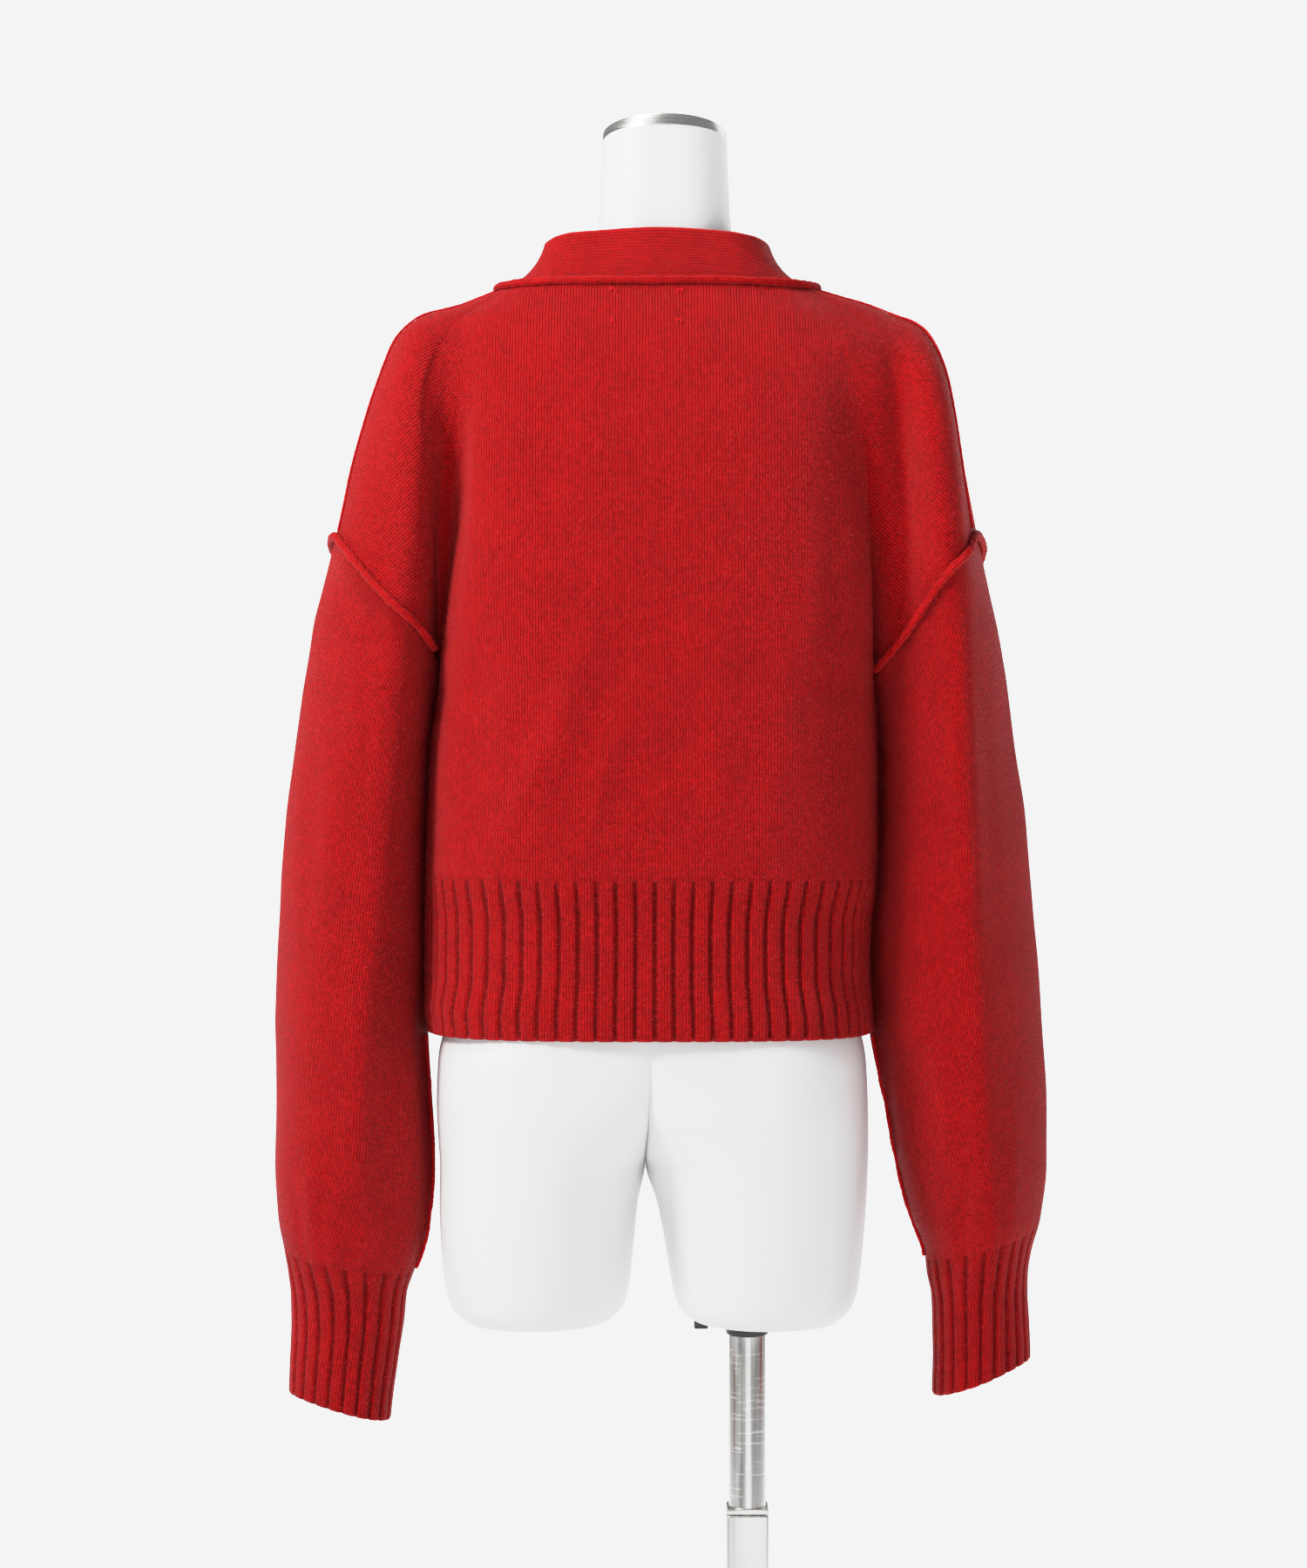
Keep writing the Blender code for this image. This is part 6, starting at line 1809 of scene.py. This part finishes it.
def knit_finish(name, rib=False, rolled=False):
    """Stockinette: columns of V stitches by bump and colour, under soft bloom."""
    own = look()
    nodes, shader = new_finish(name, Roughness=0.58, Sheen_Weight=0.12, Sheen_Roughness=0.35,
                               Sheen_Tint=(1.0, 0.30, 0.30, 1.0), Specular_IOR_Level=0.09)
    plus, minus, times = nodes.plus, nodes.minus, nodes.times
    uv = nodes.add("ShaderNodeUVMap", uv_map="stitches").outputs[0]
    split = nodes.add("ShaderNodeSeparateXYZ", {0: uv}).outputs
    sway = times(minus(nodes.noise(uv, 120.0), 0.5), STITCH_SWAY)
    across = nodes.math("DIVIDE", plus(split[0], sway), own.wale)
    down = nodes.math("DIVIDE", plus(split[1], sway), own.course)
    column = nodes.math("FRACT", across)
    side_of = times(nodes.math("ABSOLUTE", minus(column, 0.5)), 2.0)
    slant = plus(down, times(side_of, STRAND_SLANT))
    strand = nodes.wave(slant, 0.5, 0.5)
    between = nodes.math("POWER", side_of, 3.0)
    cleft = nodes.math("POWER", minus(1.0, side_of), 5.0)
    column_height = minus(minus(1.0, between), times(cleft, 0.35))
    stitch = times(column_height, plus(times(strand, 0.45), 0.55))
    if rib:
        furrow = nodes.add("ShaderNodeAttribute", attribute_name="furrow").outputs["Fac"]
        bars = nodes.wave(down, 0.35, 0.35)
        stitch = plus(times(stitch, minus(1.0, furrow)), times(bars, furrow))
    relief = plus(stitch, times(nodes.noise(uv, 1500.0, 3.0, 0.7), FUZZ))
    cell = nodes.vector(nodes.math("FLOOR", across), nodes.math("FLOOR", slant))
    luck = nodes.add("ShaderNodeTexWhiteNoise", {"Vector": cell}, noise_dimensions="2D").outputs[0]
    # Painted shade: where the stitch relief is low, between and inside the stitches, the colour
    # goes to the darker painted shade.
    shade = nodes.ranged(plus(relief, times(minus(luck, 0.5), STITCH_LUCK)), 0.22, 1.05)
    tone = nodes.blend(shade, (*own.yarn_painted_shade, 1.0), (*own.yarn, 1.0))
    level = nodes.spread(nodes.noise(uv, 26.0, 3.0), 0.93, 1.07)
    # Painted shade: the rib furrows are darkened, as shade falls between the ribs.
    if rib:
        level = times(level, minus(1.0, times(furrow, FURROW_SHADE)))
    fleck = nodes.ranged(nodes.noise(uv, 700.0, 4.0, 0.75), 0.62, 0.80, 0.0, 0.55)
    bloomed = nodes.blend(fleck, nodes.toned(tone, level), (*own.yarn_bloom, 1.0))
    dress(nodes, shader, bloomed, bump=(relief, 0.7 if rolled else 1.0, STITCH_DEPTH))


def plain_yarn(name, colour):
    """Yarn seen close: uneven strands, with bloom."""
    nodes, shader = new_finish(name, Roughness=0.9, Sheen_Weight=0.15, Sheen_Roughness=0.5,
                               Sheen_Tint=(1.0, 0.45, 0.42, 1.0), Specular_IOR_Level=0.15)
    noise = nodes.noise(nodes.place(), 900.0, 3.0)
    tone = nodes.toned((*colour, 1.0), nodes.spread(noise, 0.8, 1.25))
    dress(nodes, shader, tone, bump=(noise, 0.6, 0.0004))


def fibre_finish():
    """Loose fibres in the colour of the yarn's bloom."""
    nodes, shader = new_finish("loose_fibre", Roughness=0.8, Sheen_Weight=0.2, Sheen_Roughness=0.5,
                               Sheen_Tint=(1.0, 0.5, 0.5, 1.0))
    level = nodes.spread(nodes.noise(nodes.place(), 300.0), 0.85, 1.2)
    dress(nodes, shader, nodes.toned((*look().yarn_bloom, 1.0), level))


def form_finish():
    """A sprayed satin shell, very slightly uneven and scuffed."""
    nodes, shader = new_finish("form_shell", Coat_Weight=0.12, Coat_Roughness=0.3,
                               Specular_IOR_Level=0.35)
    slow = nodes.noise(nodes.place(), 9.0, 3.0)
    fine = nodes.noise(nodes.place(), 420.0, 3.0)
    tone = nodes.toned((*look().form_white, 1.0), nodes.spread(slow, 0.985, 1.0))
    dress(nodes, shader, tone, nodes.spread(slow, 0.40, 0.52), (fine, 0.05, 0.0003))


def steel_finish(name, grain, scratches):
    """Brushed steel: fine lines along the grain, and a few scratches from the clamp."""
    nodes, shader = new_finish(name, Metallic=1.0)
    place = nodes.place()
    height = brushed = nodes.noise(nodes.stretched(place, grain), 1.0, 4.0, 0.65)
    colour = nodes.toned((*look().steel, 1.0), nodes.spread(brushed, 0.86, 1.06))
    if scratches:
        marks = nodes.noise(nodes.stretched(place, (55, 55, 900)), 1.0, 2.0, 0.4)
        scratch = nodes.ranged(marks, 0.655, 0.70)
        colour = nodes.blend(scratch, colour, (0.92, 0.92, 0.90, 1.0))
        height = nodes.plus(height, nodes.times(scratch, -1.5))
    dress(nodes, shader, colour, nodes.spread(brushed, 0.22, 0.38), (height, 0.12, 0.0003))


def plastic_finish(name, colour, roughness):
    """Moulded plastic with a fine grain."""
    nodes, shader = new_finish(name)
    grain = nodes.noise(nodes.place(), 650.0, 3.0)
    tone = nodes.toned((*colour, 1.0), nodes.spread(grain, 0.93, 1.08))
    dress(nodes, shader, tone, nodes.spread(grain, roughness - 0.06, roughness + 0.08),
          (grain, 0.08, 0.0002))


def build_finishes():
    knit_finish("stockinette")
    knit_finish("ribbing", rib=True)
    knit_finish("rolled_knit", rolled=True)
    plain_yarn("linked_yarn", look().yarn)
    fibre_finish()
    form_finish()
    steel_finish("pole_steel", (900, 900, 12), True)
    steel_finish("tube_steel", (700, 700, 9), False)
    steel_finish("neck_steel", (30, 30, 1600), False)
    plastic_finish("moulded_black", (0.02, 0.02, 0.022), 0.42)
    plastic_finish("dyed_button", look().button, 0.42)
    chain_tree()
    fibre_tree()


# ---- studio
TONE_WHITE = 3.0           # the light that is shown as pure white
TONES = ((0.25, 0.25), (0.5, 0.51), (0.7, 0.69), (1.0, 0.81), (1.5, 0.885), (2.0, 0.925))
CAMERA_DISTANCE = 2.5
CAMERA_HEIGHT = 1.02
CAMERA_X = 0.0012
LENS = 82.5
WHITE = (1.0, 1.0, 1.0)
LIGHTS = (                 # name, place, aim, size, share of the key light's power, colour
    ("key", (1.8, 1.2, 2.3), (0.0, 0.0, 1.12), (0.6, 0.6), 2.3, (1.0, 0.99, 0.98)),
    ("top", (0.7, 0.4, 2.8), (0.0, 0.0, 1.2), (0.8, 0.8), 0.9, WHITE),
    ("fill", (-0.3, 2.4, 0.9), (0.0, 0.0, 0.9), (1.2, 0.9), 0.24, WHITE),
    ("front side", (-1.6, -2.2, 2.2), (0.0, 0.0, 1.0), (1.8, 1.8), 0.6, WHITE),
)
SKY = (0.97, 0.985, 1.0, 1.0)
SKY_STRENGTH = 0.30
FLOOR_RADIUS = 14.0
FLOOR_FADE = (0.35, 1.3)   # from here to here the floor runs out into the backdrop


def area_light(name, place, aim, size, power, colour):
    data = bpy.data.lights.new(name, "AREA")
    data.shape = "RECTANGLE"
    data.size, data.size_y = size
    data.energy = power
    data.color = colour
    light = bpy.data.objects.new(name, data)
    bpy.context.scene.collection.objects.link(light)
    light.visible_camera = False
    light.location = place
    light.rotation_euler = (Vector(aim) - Vector(place)).to_track_quat("-Z", "Y").to_euler()


def build_stage():
    """Tones, camera, lights, world and a floor that runs out into the backdrop."""
    scene = bpy.context.scene
    scene.view_settings.view_transform = "Standard"
    scene.view_settings.look = "None"
    scene.view_settings.use_curve_mapping = True
    tones = scene.view_settings.curve_mapping
    tones.white_level = (TONE_WHITE,) * 3
    for light, shown in TONES:
        tones.curves[3].points.new(light / TONE_WHITE, shown)
    tones.update()
    camera = bpy.data.cameras.new("camera")
    camera.lens = LENS
    camera.sensor_width = 36.0
    camera.sensor_fit = "AUTO"
    camera.clip_end = 60.0
    holder = bpy.data.objects.new("camera", camera)
    scene.collection.objects.link(holder)
    holder.location = (CAMERA_X, CAMERA_DISTANCE, CAMERA_HEIGHT)
    holder.rotation_euler = (math.pi / 2, 0.0, math.pi)
    scene.camera = holder
    own = look()
    for name, place, aim, size, share, colour in LIGHTS:
        area_light(name, place, aim, size, own.key_light * share, colour)

    world = bpy.data.worlds.new("studio")
    world.use_nodes = True
    scene.world = world
    nodes = Tree(world.node_tree)
    background = world.node_tree.nodes["Background"]
    background.inputs["Color"].default_value = SKY
    background.inputs["Strength"].default_value = SKY_STRENGTH
    seen = nodes.add("ShaderNodeBackground", {"Color": (*own.backdrop, 1.0), "Strength": 1.0})
    path = nodes.add("ShaderNodeLightPath")
    mixed = nodes.add("ShaderNodeMixShader", {
        0: path.outputs["Is Camera Ray"], 1: background.outputs[0], 2: seen.outputs[0]})
    nodes.link(mixed.outputs[0], world.node_tree.nodes["World Output"].inputs["Surface"])

    shape = bmesh.new()
    bmesh.ops.create_circle(shape, cap_ends=True, segments=96, radius=FLOOR_RADIUS)
    mesh = mesh_of(shape, "studio_floor")
    floor = bpy.data.objects.new("studio_floor", mesh)
    scene.collection.objects.link(floor)
    nodes, shader = new_finish("studio_floor", Roughness=0.9, Specular_IOR_Level=0.0,
                               Base_Color=(0.86, 0.865, 0.87, 1.0))
    reach = nodes.add("ShaderNodeVectorMath", {0: nodes.place()}, operation="LENGTH")
    near = nodes.ranged(reach.outputs["Value"], *FLOOR_FADE, interpolation_type="SMOOTHSTEP")
    glow = nodes.add("ShaderNodeEmission", {"Color": (*own.backdrop, 1.0)})
    mixed = nodes.add("ShaderNodeMixShader", {0: near, 1: shader.outputs[0], 2: glow.outputs[0]})
    nodes.link(mixed.outputs[0], nodes.tree.nodes["Material Output"].inputs["Surface"])
    mesh.materials.append(bpy.data.materials["studio_floor"])


# ---- operators and panel
def piece_operator(name, label, words, *makers):
    """An operator class that runs these makers in order."""
    def execute(self, context):
        for make in makers:
            make()
        return {"FINISHED"}

    return type(f"CARDIGAN_OT_{name}", (bpy.types.Operator,), {
        "bl_idname": f"cardigan.{name}", "bl_label": label, "__doc__": words, "execute": execute})


def build_sleeves():
    for side in SIDES:
        build_sleeve(side)
        build_cuff(side)


OPERATORS = (
    piece_operator("finishes", "Finishes", "Makes every finish and stitch tree", build_finishes),
    piece_operator("panels", "Panels", "Knits the back and both fronts", build_panels),
    piece_operator("sleeves", "Sleeves", "Knits the sleeves and their ribbed cuffs", build_sleeves),
    piece_operator("hems", "Hem ribs", "Knits the three ribs of the hem", build_hems),
    piece_operator("band", "Front band", "Knits the band round fronts and neck", build_band),
    piece_operator("rolls", "Rolled seams", "Rolls the armhole and band seams",
                   build_armhole_rolls, build_band_roll),
    piece_operator("linking", "Linked seams", "Links shoulders, sleeves and the band's edge",
                   build_linked_seams, build_tacks),
    piece_operator("buttons", "Buttons", "Sews on the buttons", build_buttons),
    piece_operator("fibres", "Fibres", "Raises loose fibres on the knit", build_fibres),
    piece_operator("form", "Dress form", "Moulds the limbless form", build_form),
    piece_operator("stand", "Stand", "Sets the form's cap, clamp, pole, tube and base",
                   build_stand),
    piece_operator("studio", "Studio", "Sets the floor, lights and camera", build_stage),
)


class CARDIGAN_PT_panel(bpy.types.Panel):
    """Lists the cardigan's operators and sizes."""

    bl_label = "Cardigan"
    bl_idname = "CARDIGAN_PT_panel"
    bl_space_type = "VIEW_3D"
    bl_region_type = "UI"
    bl_category = "Cardigan"

    def draw(self, context):
        for operator in OPERATORS:
            self.layout.operator(operator.bl_idname)
        for name in CARDIGAN_PG_look.__annotations__:
            self.layout.prop(context.scene.cardigan_look, name)


CLASSES = (CARDIGAN_PG_look, *OPERATORS, CARDIGAN_PT_panel)


def register():
    for each in CLASSES:
        bpy.utils.register_class(each)
    bpy.types.Scene.cardigan_look = bpy.props.PointerProperty(type=CARDIGAN_PG_look)


def unregister():
    del bpy.types.Scene.cardigan_look
    for each in reversed(CLASSES):
        bpy.utils.unregister_class(each)


def main():
    """Makes every piece in order, and keeps the sizes before and after."""
    register()
    bpy.context.scene.collection.children.link(bpy.data.collections.new(COLLECTION))
    for operator in OPERATORS:
        getattr(bpy.ops.cardigan, operator.bl_idname.split(".")[1])()


if __name__ == "__main__":
    main()
